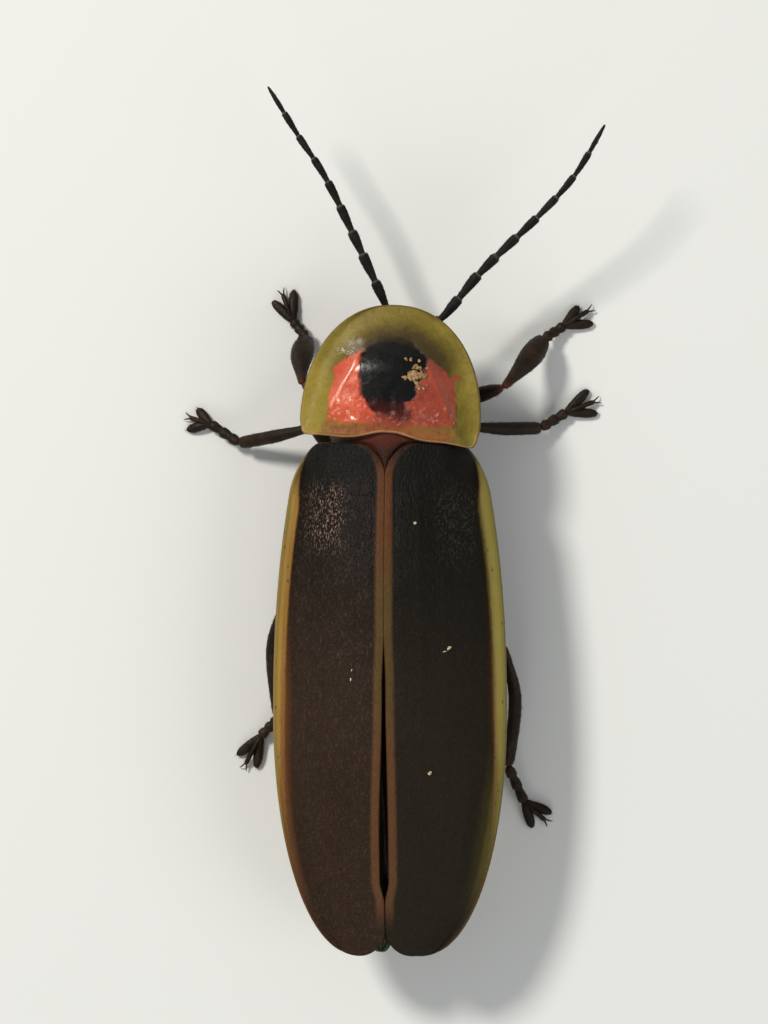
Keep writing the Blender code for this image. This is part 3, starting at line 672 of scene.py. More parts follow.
def case_rim(paint, at, look, past):
    """Pale margin: deeper behind, warmer inside, greener outside, with small dark dots."""
    worn = (at.broad - 0.35).rise(0.0, 0.5) * 0.7 + at.station.rise(8.5, 11.5) * 0.6
    dots = paint.cells(paint.stretch(at.spot, (5.0, 3.1, 5.0)), 1.0)
    return paint.over(
        look["pale"],
        (look["deep"], worn.held()),
        (look["inner"], past.rise(-0.13, -0.01) * (0.25 + 0.50 * at.station.rise(6.0, 9.0))),
        (look["outer"], at.edge.fall(0.03, 0.13) * 0.65),
        (colour(96, 74, 32), at.edge.fall(0.0, 0.04) * 0.6),
        (colour(60, 44, 22), dots.fall(0.08, 0.14) * 0.7),
    )


def case_seam_tan(paint, at):
    """Band along the seam: dark at the notch, rust, olive along the middle, tan behind."""
    station = at.station
    return paint.over(
        colour(40, 24, 16),
        (colour(94, 56, 30), station.rise(3.10, 3.75)),
        (colour(88, 68, 36), station.rise(4.8, 6.4)),
        (colour(96, 64, 40), station.rise(8.0, 10.0)),
        (colour(70, 46, 26), (at.streak - 0.45).rise(0.0, 0.3) * 0.5),
        (colour(66, 42, 22), at.seam.fall(0.0, 0.05) * station.rise(6.6, 8.0) * 0.7),
    )


def case_markings(paint, side, lift=0.0):
    """Dark field, tan seam band, pale margin that fades near the tip; lift pales them all a little."""
    at = case_place(paint)
    look = CASE_LOOKS[side]
    station = at.station
    wide = look["margin"] * station.rise(3.0, 4.5) * (1.0 - 0.80 * station.rise(8.4, 12.6))
    past = at.edge + at.ragged * 0.7 - wide
    margin = past.fall(-0.05, 0.05) * (1.0 - 0.9 * station.rise(10.6, 12.4))
    half_band = SEAM_BAND * (1.0 - 0.12 * station.fall(3.6, 6.0))
    band = (at.seam + at.ragged * 0.6 - half_band).fall(-0.05, 0.04) * station.fall(12.7, 13.5)
    field, painted_glint = case_field(paint, at, look, past)
    tip = at.edge.fall(0.0, 0.07) * station.rise(11.4, 12.8)
    painted = paint.over(
        field,
        (case_rim(paint, at, look, past), margin),
        (case_seam_tan(paint, at), band * (0.80 + 0.20 * (at.fine - 0.4).rise(0.0, 0.3))),
        (colour(100, 66, 38), tip * 0.75),
        (colour(160, 116, 88), lift),
    )
    return painted, at, margin, band, painted_glint


def wing_case_finish(side, word):
    paint = Paint("wing_case_" + word)
    painted, at, margin, band, painted_glint = case_markings(paint, side)
    grains = paint.cells(paint.stretch(at.spot, (1.0, 0.7, 1.0)), 24.0)
    relief = grains * -0.35 + at.fine * 0.5 + at.streak * 0.8
    quiet = 1.0 - margin * 0.7 - band * 0.4
    normal = paint.bump(relief * quiet.held(), 0.024, 0.9)
    rough = 0.42 + (at.fine - 0.5) * 0.25 + (grains - 0.3) * 0.1 + band * 0.05 - painted_glint * 0.1
    return paint.finish(
        {"Base Color": painted, "Roughness": rough.held(), "Normal": normal, "Metallic": painted_glint.held(),
         "Coat Weight": (margin * 0.25).held()},
        {"Specular IOR Level": 0.09, "Subsurface Weight": 0.08, "Subsurface Scale": 0.05 * MM,
         "Subsurface Radius": (1.0, 0.5, 0.2), "Coat Roughness": 0.35},
    )


def wing_case_hair_finish(side, word):
    """Hairs marked as the skin below them, and a little paler."""
    paint = Paint("wing_case_hair_" + word)
    painted = case_markings(paint, side, 0.03)[0]
    return paint.finish({"Base Color": painted}, {"Roughness": 0.35, "Specular IOR Level": 0.08})


def shield_place(paint):
    """Where a point lies on the shield, in its own turned frame: u across, v back from its tip."""
    back = ORIGIN_STATION - SHIELD_LENGTH
    shift = (-back * math.sin(SHIELD_TURN), back * math.cos(SHIELD_TURN) + SHIELD_LENGTH, 0.0)
    spot = paint.place(SHIELD_TURN, shift)
    u, v, _ = paint.parts(spot)
    u = u + (paint.noise(spot, 3.1, 2.0) - 0.5) * 0.20
    v = v + (paint.noise(paint.stretch(spot, (2.7, 2.7, 4.0)), 1.3, 2.0) - 0.5) * 0.20
    fine = paint.noise(spot, 9.0, 4.0, 0.65)
    return SimpleNamespace(
        spot=spot, u=u, v=v, side=abs(u), left=u.rise(-0.15, 0.15), edge=paint.value("edge"),
        cloud=paint.noise(spot, 1.7, 4.0), fine=fine, grain=paint.noise(spot, 30.0, 2.0),
        ragged=(fine - 0.5) * 0.22,
    )


def shield_horn(paint, at):
    """Olive horn with painted light: the head's shadow in front of the black spot, a milky highlight at the
    left shoulder and a paler left edge.
    """
    u, v, fine, ragged = at.u, at.v, at.fine, at.ragged
    # Painted shade: the head below the clear shield, darkening the horn in front of the black spot.
    painted_head_shade_u = u + 0.10
    painted_head_shade_reach = (painted_head_shade_u * painted_head_shade_u * 0.74 + (v - 1.45) * (v - 1.45)).power(0.5)
    painted_head_shade = (painted_head_shade_reach + ragged * 1.3).fall(0.78, 1.30) * v.fall(1.45, 2.1)
    # Painted highlight: a milky patch at the left shoulder of the disc.
    shoulder = (u - 0.84 + ragged * 0.5).band(0.0, 0.30) * (v - 0.92 + ragged).band(0.0, 0.22)
    return paint.over(
        colour(134, 118, 42),
        (colour(112, 98, 32), (at.cloud - 0.3).rise(0.0, 0.45)),
        # Painted light: paler along the left edge, as lit from the left.
        (colour(160, 138, 58), (u - 1.1).rise(0.0, 0.6) * v.rise(0.8, 1.6) * 0.6),
        (colour(104, 88, 28), v.fall(0.0, 0.75) * 0.5),
        (colour(92, 64, 24), (fine - 0.55).rise(0.0, 0.2) * 0.40),
        (colour(58, 43, 26), painted_head_shade * 0.88),
        (colour(160, 150, 130), shoulder * (0.35 + (fine - 0.45).rise(0.0, 0.2) * 0.4)),
    )


def shield_rose(paint, at):
    """Rose patches beside the spot: their colour with painted light and highlights, where they show and
    where they look glossy.
    """
    v, side, left, fine, ragged = at.v, at.side, at.left, at.fine, at.ragged
    beyond = (side - 0.72).maths("MAXIMUM", 0.0)
    front = (v + ragged * 0.45 - 0.66 * beyond - 0.09 * (1.0 - left)).rise(0.97, 1.07)
    reach = 1.235 + 0.085 * v.rise(1.4, 2.2) + (1.0 - left) * 0.065
    ends = (side + ragged * 0.35 - reach).fall(-0.03, 0.05)
    back = (v + ragged * 0.45 + 0.04 * side).fall(2.54, 2.72)
    tooth = (abs(v - 1.50) + (side - 1.30) * 0.75).fall(0.10, 0.16)
    tooth = tooth * side.rise(1.25, 1.35) * at.u.fall(-0.1, 0.1)
    rose = (ends * front * back).maths("MAXIMUM", tooth * 0.85)
    mottle = (at.cloud - 0.35).rise(0.0, 0.4)
    # Painted light and shade: the same rose painted lighter on the left patch and duller on the right, as
    # lit from the left.
    painted_lit_rose = paint.blend(colour(208, 96, 64), colour(188, 70, 43), mottle)
    painted_shaded_rose = paint.blend(colour(156, 68, 44), colour(130, 48, 31), mottle)
    past_crease = side - SHIELD_CREASE - SHIELD_CREASE_SPREAD * (v - SHIELD_CREASE_FRONT)
    # Painted highlight along the left crease.
    painted_crease_highlight = (past_crease + ragged * 0.16).band(0.0, 0.034) * v.rise(1.15, 1.35) * v.fall(2.15, 2.35) * left
    # Glossy spots at the back of the rose patches; their cream colour is a painted highlight, more on the
    # left.
    wet_and_painted_glint = paint.cells(paint.stretch(at.spot, (1.0, 0.7, 1.0)), 6.5).fall(0.16, 0.30) * v.rise(1.95, 2.3)
    wet_and_painted_glint = wet_and_painted_glint * v.fall(2.45, 2.62) * (0.25 + 0.75 * left) * (fine - 0.42).rise(0.0, 0.12)
    flesh = paint.over(
        painted_shaded_rose,
        (painted_lit_rose, left),
        # Painted sheen: paler flecks, more on the lit left.
        (colour(222, 134, 104), (fine - 0.56).rise(0.0, 0.14) * (0.20 + 0.30 * left)),
        (colour(246, 190, 172), painted_crease_highlight * (0.45 + (at.cloud - 0.4).rise(0.0, 0.2) * 0.5)),
        (colour(250, 200, 166), wet_and_painted_glint * 0.8),
    )
    return flesh, rose, wet_and_painted_glint


def shield_spot(paint, at):
    """Black spot that turns deep red behind: its colour and where it shows."""
    u, v, ragged = at.u, at.v, at.ragged
    right_half = 0.735 - 0.16 * v.rise(1.35, 1.75) - 0.25 * v.rise(1.93, 2.10)
    left_half = 0.69 - 0.06 * v.rise(1.5, 1.95) - 0.37 * v.rise(1.92, 2.50)
    half = (right_half + (left_half - right_half) * at.left) * (0.50 + 0.50 * v.rise(0.72, 1.14))
    blot = (at.side + ragged * 0.45 - half).fall(-0.05, 0.05)
    blot = blot * (v + ragged * 0.6 - 0.35 * u * u).rise(0.58, 0.90)
    blot = blot * (v + ragged * 0.3).fall(2.30, 2.60)
    ink = paint.blend(colour(12, 11, 10), colour(62, 16, 12), (v + ragged * 0.8).rise(1.95, 2.38))
    return ink, blot


def shield_markings(paint, at):
    """Horn, rose patches, amber hind strip, black spot and the dark line round the edge."""
    v, side, ragged = at.v, at.side, at.ragged
    flesh, rose, wet_and_painted_glint = shield_rose(paint, at)
    ink, blot = shield_spot(paint, at)
    middle = side.fall(0.2, 0.9) * (v + ragged * 0.3).band(2.62, 0.34)
    amber = paint.blend(colour(138, 82, 42), colour(110, 52, 30), (at.fine - 0.45).rise(0.0, 0.2) * 0.8)
    strip = (v + ragged * 0.6).rise(2.56, 2.70) * side.fall(1.15, 1.7)
    stain = (side - 0.34 + ragged).band(0.0, 0.20) * (v - 2.36).band(0.0, 0.20) * (1.0 - at.left)
    glint = (at.u - 1.00).band(0.0, 0.26) * (v - 1.08).band(0.0, 0.08) * (at.grain - 0.52).rise(0.0, 0.1)
    painted = paint.over(
        shield_horn(paint, at),
        (flesh, rose),
        (colour(136, 58, 34), middle * 0.75),
        (amber, strip * 0.85),
        (colour(190, 142, 104), at.edge.band(0.03, 0.05) * v.rise(2.6, 2.75) * 0.5),
        (ink, blot),
        (colour(70, 20, 15), stain * 0.8),
        (colour(236, 232, 220), glint * 0.8),
        (colour(64, 46, 20), at.edge.fall(0.0, 0.05) * 0.7),
    )
    wet_and_painted_glint = (wet_and_painted_glint * rose * (1.0 - blot)).maths("MAXIMUM", glint)
    return painted, rose, blot, wet_and_painted_glint


def shield_finish():
    paint = Paint("shield")
    at = shield_place(paint)
    painted, rose, blot, wet_and_painted_glint = shield_markings(paint, at)
    swell = paint.noise(at.spot, 5.0, 2.0, 0.4)
    dents = paint.cells(at.spot, 9.0, "SMOOTH_F1")
    hind = at.v.rise(1.9, 2.4)
    pitting = dents * (0.20 + rose * (0.15 + hind * 0.7))
    relief = at.fine * 0.35 + at.grain * 0.10 + pitting + swell * (0.5 + rose * hind)
    normal = paint.bump(relief * (1.0 - blot * 0.7), 0.050, 0.85)
    rough = 0.46 + (at.fine - 0.5) * 0.25 - rose * 0.16 - wet_and_painted_glint * 0.15
    return paint.finish(
        {"Base Color": painted, "Roughness": rough.held(), "Normal": normal, "Metallic": (wet_and_painted_glint * 0.6).held(),
         "Coat Weight": (rose * (1.0 - blot) * 0.45).held()},
        {"Specular IOR Level": 0.20, "Subsurface Weight": 0.30, "Subsurface Scale": 0.16 * MM,
         "Subsurface Radius": (1.0, 0.55, 0.2), "Coat Roughness": 0.14},
    )


def shell_finish(name, base, worn, joint, rough):
    """Brown horny skin, worn lighter in patches and redder where the attribute joint says."""
    paint = Paint(name)
    spot = paint.place()
    fine = paint.noise(spot, 26.0, 3.0, 0.65)
    broad = paint.noise(spot, 3.2, 4.0)
    painted = paint.over(
        base,
        (worn, (broad - 0.42).rise(0.0, 0.3) * 0.7),
        (joint, (paint.value("joint") + (fine - 0.5) * 0.4).held() * 0.85),
    )
    grains = paint.cells(spot, 23.4)
    normal = paint.bump(fine - grains * 0.5, 0.012, 0.8)
    level = rough + (fine - 0.5) * 0.25
    return paint.finish(
        {"Base Color": painted, "Roughness": level.held(), "Normal": normal},
        {"Specular IOR Level": 0.15, "Subsurface Weight": 0.08, "Subsurface Scale": 0.05 * MM,
         "Subsurface Radius": (1.0, 0.4, 0.2)},
    )


def plain_hair_finish(name, tint):
    """Hairs of one tint, darker in places."""
    paint = Paint(name)
    shade = paint.noise(paint.place(), 14.0, 2.0)
    darker = tuple(level * 0.5 for level in tint[:3]) + (1.0,)
    return paint.finish(
        {"Base Color": paint.blend(darker, tint, shade.rise(0.3, 0.7))},
        {"Roughness": 0.4, "Specular IOR Level": 0.2},
    )


def feeler_finish():
    """Black down-covered segments with a pale ring at each joint."""
    paint = Paint("feeler")
    spot = paint.place()
    ring = paint.value("joint")
    fine = paint.noise(spot, 40.0, 3.0)
    broad = paint.noise(spot, 5.0, 3.0)
    painted = paint.over(
        colour(15, 13, 11),
        (colour(36, 28, 22), (broad - 0.4).rise(0.0, 0.35)),
        (colour(122, 100, 84), ring.power(5.0).held() * 0.8),
    )
    normal = paint.bump(fine, 0.012, 0.8)
    rough = 0.55 + (fine - 0.5) * 0.2
    return paint.finish(
        {"Base Color": painted, "Roughness": rough.held(), "Normal": normal}, {"Specular IOR Level": 0.16},
    )


def eye_finish():
    """Black eye with its small facets."""
    paint = Paint("eye")
    spot = paint.place()
    facets = paint.cells(spot, 34.0)
    glint = paint.noise(spot, 6.0, 2.0)
    painted = paint.blend(colour(14, 12, 12), colour(38, 30, 28), (glint - 0.4).rise(0.0, 0.3))
    normal = paint.bump(1.0 - facets, 0.010, 0.8)
    return paint.finish(
        {"Base Color": painted, "Roughness": 0.16 + facets * 0.12, "Normal": normal},
        {"Specular IOR Level": 0.6},
    )


def membrane_finish():
    """Smoky folded hind wing, tan and then greenish at its tip, with one pale glint."""
    paint = Paint("hind_wing")
    spot = paint.place()
    fold = paint.noise(paint.stretch(spot, (7.0, 0.8, 7.0)), 1.0, 3.0)
    _, station, _ = paint.parts(spot)
    painted = paint.over(
        colour(28, 18, 11),
        (colour(50, 35, 21), fold.rise(0.35, 0.7)),
        (colour(112, 76, 34), station.band(12.95, 0.30) * 0.85),
        (colour(150, 168, 122), station.band(13.42, 0.10) * 0.6),
        (colour(46, 60, 28), station.rise(13.2, 13.5) * 0.8),
    )
    normal = paint.bump(fold, 0.05, 0.7)
    rough = 0.28 + (fold - 0.5) * 0.2
    return paint.finish(
        {"Base Color": painted, "Roughness": rough.held(), "Normal": normal}, {"Specular IOR Level": 0.22},
    )


def lantern_finish():
    """Pale waxy plates under the tail."""
    paint = Paint("lantern")
    spot = paint.place()
    mottle = paint.noise(spot, 6.0, 4.0)
    fine = paint.noise(spot, 28.0, 3.0)
    painted = paint.over(
        colour(232, 224, 176),
        (colour(206, 190, 120), (mottle - 0.4).rise(0.0, 0.3)),
        (colour(120, 84, 50), paint.value("joint").held() * 0.7),
    )
    normal = paint.bump(fine + mottle, 0.012, 0.7)
    rough = 0.42 + (fine - 0.5) * 0.2
    return paint.finish(
        {"Base Color": painted, "Roughness": rough.held(), "Normal": normal},
        {"Subsurface Weight": 0.35, "Subsurface Scale": 0.12 * MM, "Subsurface Radius": (1.0, 0.8, 0.4)},
    )


# Shield


def shield_half_width(v):
    """Half width of the rounded front."""
    along = np.maximum(0.0, 1.0 - v / SHIELD_WIDEST)
    return SHIELD_HALF_WIDTH * np.maximum(1e-6, 1.0 - along ** SHIELD_POWER) ** (1.0 / SHIELD_POWER)


def hind_droop(u):
    """The hind corner on the animal's right reaches a little further back."""
    return SHIELD_RIGHT_DROOP * smooth(1.0, 1.8, -np.asarray(u))


def shield_outline():
    """Half-round front, nearly straight sides, small hind corners and a shallow hind arch."""
    steps = 110
    angle = math.pi * np.arange(steps + 1) / steps
    power = 2.0 / SHIELD_POWER
    across = SHIELD_HALF_WIDTH * signed_power(np.cos(angle), power)
    front = np.stack([across, SHIELD_WIDEST * (1.0 - np.abs(np.sin(angle)) ** power)], 1)
    corner = SHIELD_CORNER
    half = SHIELD_HIND_HALF_WIDTH
    left = [(-half - 0.02, SHIELD_SIDE_END)]
    right = [(half + 0.02, SHIELD_SIDE_END)]
    for turn in np.linspace(0.0, 0.5 * math.pi, 8):
        x = -half + corner * (1 - math.cos(turn))
        back = SHIELD_LENGTH - corner + corner * math.sin(turn)
        left.append((x, back + hind_droop(x) * math.sin(turn)))
        right.append((-x, back + hind_droop(-x) * math.sin(turn)))
    across = np.linspace(-half + corner, half - corner, 46)[1:-1]
    arch = SHIELD_HIND_ARCH * (1.0 - smooth(0.1, 0.75, np.abs(across)))
    arch -= 0.03 * hump(np.abs(across), 1.0, 0.3)
    hind = np.stack([across, SHIELD_LENGTH - arch + hind_droop(across)], 1)
    return np.vstack([front, left, hind, right[::-1]])


def shield_top(u, v):
    """Height of the upper face: hood, raised disc with a sharp crease each side, flat turned-up rim."""
    half = shield_half_width(np.maximum(v, 0.02))
    side = np.abs(u)
    crease = SHIELD_CREASE + SHIELD_CREASE_SPREAD * (v - SHIELD_CREASE_FRONT)
    crease = np.clip(crease, 0.20, np.maximum(0.20, half - 0.30))
    past = np.clip((side - crease) / np.maximum(half - crease, 0.05), 0.0, 1.0)
    disc = 1.0 - 0.20 * np.minimum(side / crease, 1.0) ** 2
    flank = 0.80 * (1.0 - past) ** 2
    lateral = np.where(side < crease, disc, flank)
    crown = lateral * smooth(-0.05, 1.5, v) * (1.0 - 0.12 * smooth(2.2, 2.9, v))
    rim = SHIELD_RIM_HEIGHT + SHIELD_RIM_RISE * v / SHIELD_LENGTH
    upturn = 0.08 * smooth(0.82, 1.0, side / half)
    groove = 0.03 * hump(u, 0.0, 0.10) * smooth(1.6, 2.4, v)
    fold = 0.030 * hump(side - crease, -0.01, 0.035) * smooth(0.9, 1.3, v) * (1 - smooth(2.1, 2.5, v))
    fold = fold * (0.3 + 0.7 * smooth(-0.2, 0.2, u))
    dimple = 0.06 * hump(side, 0.85, 0.18) * hump(v, 2.40, 0.14)
    hollow = 0.04 * hump(side, 0.45, 0.12) * hump(v, 2.45, 0.10)
    hind_lip = 0.04 * hump(v, SHIELD_LENGTH - 0.07, 0.05)
    return rim + upturn + SHIELD_CROWN * crown - groove + fold - dimple - hollow + hind_lip


def turn_shield(u, v, height):
    """From the shield's own frame to the body's."""
    back = v - SHIELD_LENGTH
    x = u * math.cos(SHIELD_TURN) + back * math.sin(SHIELD_TURN)
    y = SHIELD_LENGTH + back * math.cos(SHIELD_TURN) - u * math.sin(SHIELD_TURN)
    return np.stack([x, y, height], axis=-1)


def under_shield(x, y):
    """Height just under the shield at a place given in the body's frame."""
    dy = y - SHIELD_LENGTH
    u = x * math.cos(SHIELD_TURN) - dy * math.sin(SHIELD_TURN)
    v = dy * math.cos(SHIELD_TURN) + x * math.sin(SHIELD_TURN) + SHIELD_LENGTH
    return shield_top(u, v) - UNDER_SHIELD


def make_shield():
    """Rings shrink from the outline to the middle, over the top and back below."""
    outline = shield_outline()
    centre = np.array(SHIELD_MIDDLE)
    shares = np.concatenate([np.linspace(0.02, 0.90, 40), np.linspace(0.915, 1.0, 12)])
    top = []
    bottom = []
    distance = []
    reach = np.linalg.norm(outline - centre, axis=1)
    for share in shares:
        place = centre + (outline - centre) * share
        u = place[:, 0]
        v = place[:, 1]
        away = reach * (1.0 - share)
        high = shield_top(u, v)
        thick = mix(0.09, 0.20, smooth(0.15, 0.6, away)) + 0.03 * hump(away, 0.0, 0.05)
        half = thick * 0.5
        rounding = np.maximum(quarter_round(away / SHIELD_EDGE_ROUND), 0.02)
        top.append(turn_shield(u, v, high - half + half * rounding))
        bottom.append(turn_shield(u, v, high - half - half * rounding))
        distance.append(away)
    rings = np.array(top + bottom[::-1])
    away = np.array(distance + distance[::-1])
    cover = 0.25 + 0.75 * (1.0 - smooth(0.1, 0.6, away))
    cover[len(shares):] *= 0.3
    return grid_mesh("shield", rings, "fan", {"edge": away, "cover": cover})


# Wing cases and hind wings


def case_side(station):
    """Half width of both cases together, without the rounded shoulder."""
    run = np.clip((CASE_WIDEST - station) / (CASE_WIDEST - CASE_FRONT), 0.0, 1.0)
    front = CASE_HALF_WIDTH - CASE_FRONT_NARROWING * run ** 2.3
    run = np.clip((station - CASE_WIDEST) / (CASE_TIP - CASE_WIDEST), 0.0, 1.0)
    hind = CASE_TIP_X + (CASE_HALF_WIDTH - CASE_TIP_X) * (1.0 - run ** 2) ** 0.45
    return np.where(station < CASE_WIDEST, front, hind)


def case_reach(station):
    """Half width with the rounded shoulder."""
    return mix(SHOULDER_X, case_side(station), quarter_round((station - CASE_FRONT) / SHOULDER_RUN))


def seam_x(station):
    """Where the seam lies: left of the middle, and a little more so behind."""
    return SEAM_X + SEAM_DRIFT * smooth(9.0, 12.0, station)


def case_inner(station):
    """Half gap between the cases: scutellum notch, closed seam, long slit, rounded tips."""
    notch = NOTCH_HALF_WIDTH * (1.0 - quarter_round((station - CASE_FRONT) / NOTCH_LENGTH))
    slit = 0.0015 + 0.036 * smooth(7.0, 8.2, station) + 0.058 * smooth(8.4, 11.4, station)
    slit = slit - 0.088 * smooth(12.35, 12.85, station)
    tip_radius = CASE_TIP_X - 0.06
    past = np.clip(station - (CASE_TIP - tip_radius), 0.0, tip_radius)
    tip = tip_radius - np.sqrt(np.maximum(0.0, tip_radius ** 2 - past ** 2))
    return notch + slit + tip


def case_crown(station):
    """Height of the cases along the middle."""
    front = mix(CASE_FRONT_HEIGHT, CASE_CROWN_HEIGHT, smooth(2.6, 6.2, station))
    return front - (CASE_CROWN_HEIGHT - CASE_TIP_HEIGHT) * smooth(8.8, 14.9, station) ** 1.15 * 1.06


def case_edge(station):
    """Height of the cases along their outer edge."""
    return CASE_EDGE_HEIGHT + 0.08 * (1.0 - smooth(3.0, 5.0, station)) - 0.10 * smooth(11.0, 14.0, station)


def case_share(x, station):
    """How far out a place lies: 0 at the middle, 1 at the side."""
    return np.abs(x) / np.maximum(0.3, case_side(np.minimum(station, CASE_TIP - 0.15)))


def case_top(x, station):
    """Height of the upper face: low dome, turned-up edge and a swelling at the shoulder."""
    share = case_share(x, station)
    dome = np.maximum(0.0, 1.0 - (share / CASE_DOME_REACH) ** 2.5)
    upturn = 0.05 * smooth(0.90, 1.0, share)
    shoulder = 0.10 * hump(share, 0.66, 0.16) * (1.0 - smooth(3.4, 5.0, station))
    rise = np.maximum(0.0, case_crown(station) - case_edge(station))
    return case_edge(station) + upturn + rise * dome + shoulder


def plate(inner, outer, stations, columns, top, thickness, edge_radius=0.06, seam_radius=0.014):
    """Curved thin plate with rounded edges: its rings, and distances from both long edges."""
    k = np.linspace(0.0, 1.0, columns)
    t = mix(0.5 - 0.5 * np.cos(math.pi * k), k, 0.35)
    rings = []
    outer_away = []
    inner_away = []
    from_end = np.minimum(stations - stations[0], stations[-1] - stations)
    for station, end in zip(stations, quarter_round(from_end / edge_radius)):
        near = inner(station)
        far = outer(station)
        x = mix(near, far, t)
        place = np.full(columns, station)
        from_near = np.abs(x - near)
        from_far = np.abs(far - x)
        blunt = 1.0 - 0.15 * (1.0 - np.minimum(from_near / seam_radius, 1.0)) ** 2
        half = thickness * 0.5
        half_here = half * np.maximum(quarter_round(from_far / edge_radius) * blunt * max(end, 0.05), 0.03)
        middle = top(x, place, from_near, from_far) - half
        upper = np.stack([x, place, middle + half_here], 1)
        lower = np.stack([x, place, middle - half_here], 1)
        rings.append(np.vstack([upper, lower[::-1]]))
        outer_away.append(np.concatenate([from_far, from_far[::-1]]))
        inner_away.append(np.concatenate([from_near, from_near[::-1]]))
    return np.array(rings), np.array(outer_away), np.array(inner_away)


def along(front, tip, count, round_tip):
    """Stations along a wing, closer together at the front and over the rounded tip."""
    t = np.linspace(0.0, 1.0, count)
    straight = mix(front, tip - round_tip, mix(t, 1.0 - np.cos(0.5 * math.pi * t), 0.5))
    bend = np.linspace(0.0, 0.5 * math.pi, 46)[1:-1]
    return np.concatenate([straight, tip - round_tip * (1.0 - np.sin(bend))])


def margin_width(station, full):
    """Width of the pale margin: narrow at the shoulder, fading out towards the tip."""
    return full * smooth(3.0, 4.5, station) * (1.0 - 0.80 * smooth(8.4, 12.6, station))


def make_wing_case(side, word):
    """Case with a raised seam band, a gutter inside its margin and three low ribs."""
    stations = along(CASE_FRONT, CASE_TIP, CASE_ROWS, 1.2)
    margin = CASE_LOOKS[side]["margin"]

    def inner(station):
        return seam_x(station) + side * case_inner(station)

    def outer(station):
        return side * float(case_reach(station))

    def top(x, station, from_seam, from_edge):
        share = case_share(x, station)
        ends = smooth(3.2, 4.4, station) * (1.0 - smooth(11.5, 13.0, station))
        band = 0.018 * (1.0 - smooth(SEAM_BAND - 0.08, SEAM_BAND + 0.02, from_seam))
        band -= 0.008 * hump(from_seam, SEAM_BAND + 0.04, 0.035)
        band *= smooth(3.2, 3.9, station) * (1.0 - smooth(12.6, 13.4, station))
        gutter = 0.020 * hump(from_edge, 0.03, 0.035)
        gutter -= 0.026 * hump(from_edge, margin_width(station, margin), 0.05)
        ribs = sum(hump(share, place, 0.022) for place in (0.30, 0.50, 0.70)) * 0.016 * ends
        wave = 0.006 * np.sin(station * 3.1 + x * 2.0) + 0.004 * np.sin(station * 7.3 - x * 5.0)
        return case_top(x, station) + band + gutter + ribs + wave

    rings, edge, seam = plate(inner, outer, stations, CASE_COLUMNS, top, CASE_THICKNESS)
    upper = np.zeros(rings.shape[:2])
    upper[:, :CASE_COLUMNS] = 1.0
    cover = upper * smooth(0.02, 0.08, np.minimum(edge, seam))
    cover *= 1.0 - 0.7 * (1.0 - smooth(margin - 0.05, margin + 0.05, edge))
    return grid_mesh("wing_case_" + word, rings, "strip", {"edge": edge, "seam": seam, "cover": cover})


def make_hind_wing(side, word):
    """Folded membrane with its main veins raised, seen in the slit between the wing cases."""
    stations = along(WING_FRONT, WING_TIP, 100, 0.5)

    def inner(station):
        return WING_SEAM_X + WING_SEAM_GAP * side

    def outer(station):
        folded = side * (0.72 - 0.17 * float(smooth(8.5, 11.5, station))) * float(case_side(station))
        reach = mix(folded, WING_SEAM_X + side * WING_TIP_HALF_WIDTH, float(smooth(12.0, 13.3, station)))
        past = max(0.0, (station - 13.45) / 0.49)
        return mix(WING_SEAM_X, reach, math.sqrt(max(0.03, 1.0 - past ** 2)))

    def top(x, station, from_near, from_far):
        veins = sum(hump(from_far, place, 0.03) for place in (0.08, 0.34, 0.70)) * 0.03
        folds = 0.020 * np.sin(x * 21.0 + station * 0.8)
        return case_top(x, station) - mix(0.48, 0.22, smooth(12.4, 13.6, station)) + veins + folds

    rings, _, _ = plate(inner, outer, stations, 44, top, WING_THICKNESS, 0.025)
    return grid_mesh("hind_wing_" + word, rings, "strip")


# Trunk


def abdomen_half_width(s):
    """Half width of the abdomen, rounding off at the tail."""
    front = mix(1.72, ABDOMEN_HALF_WIDTH, smooth(7.0, 8.6, s))
    run = np.maximum(0.0, (s - 9.0) / (ABDOMEN_TIP + 0.25 - 9.0))
    return front * np.sqrt(np.maximum(0.02, 1.0 - run ** 3.0))


def trunk_shape(s):
    """Half width, bottom, middle and top of the trunk along the body."""
    chest = mix(0.98, 1.30, smooth(1.7, 2.5, s))
    chest = mix(chest, TRUNK_HALF_WIDTH + 0.10 * smooth(4.4, 6.0, s), smooth(2.9, 4.2, s))
    waist = smooth(6.85, 7.15, s)
    half = mix(chest, abdomen_half_width(s), waist)
    half = half * (0.42 + 0.58 * smooth(1.52, 1.80, s))
    belly = mix(1.24, 0.86, smooth(7.0, 9.2, s)) + 0.42 * smooth(11.4, 13.9, s)
    bottom = mix(TRUNK_BOTTOM, belly, waist)
    middle = mix(TRUNK_MIDDLE, mix(1.74, 1.50, smooth(7.0, 9.2, s)) + 0.10 * smooth(11.4, 13.9, s), waist)
    middle = middle - 0.12 * (1.0 - smooth(1.7, 3.0, s))
    top = mix(2.36 + 0.45 * hump(s, 2.90, 0.35), 2.30 - 0.30 * smooth(11.5, 13.9, s), waist)
    return half, bottom, middle, top


def ring_edge(number):
    """Station behind an abdomen ring; 0 is the front of the first."""
    return mix(ABDOMEN_FRONT, ABDOMEN_RINGS_BACK, number / ABDOMEN_RINGS)


TRUNK_SEAMS = np.array(CHEST_SEAMS + tuple(ring_edge(k) for k in range(ABDOMEN_RINGS + 1)))


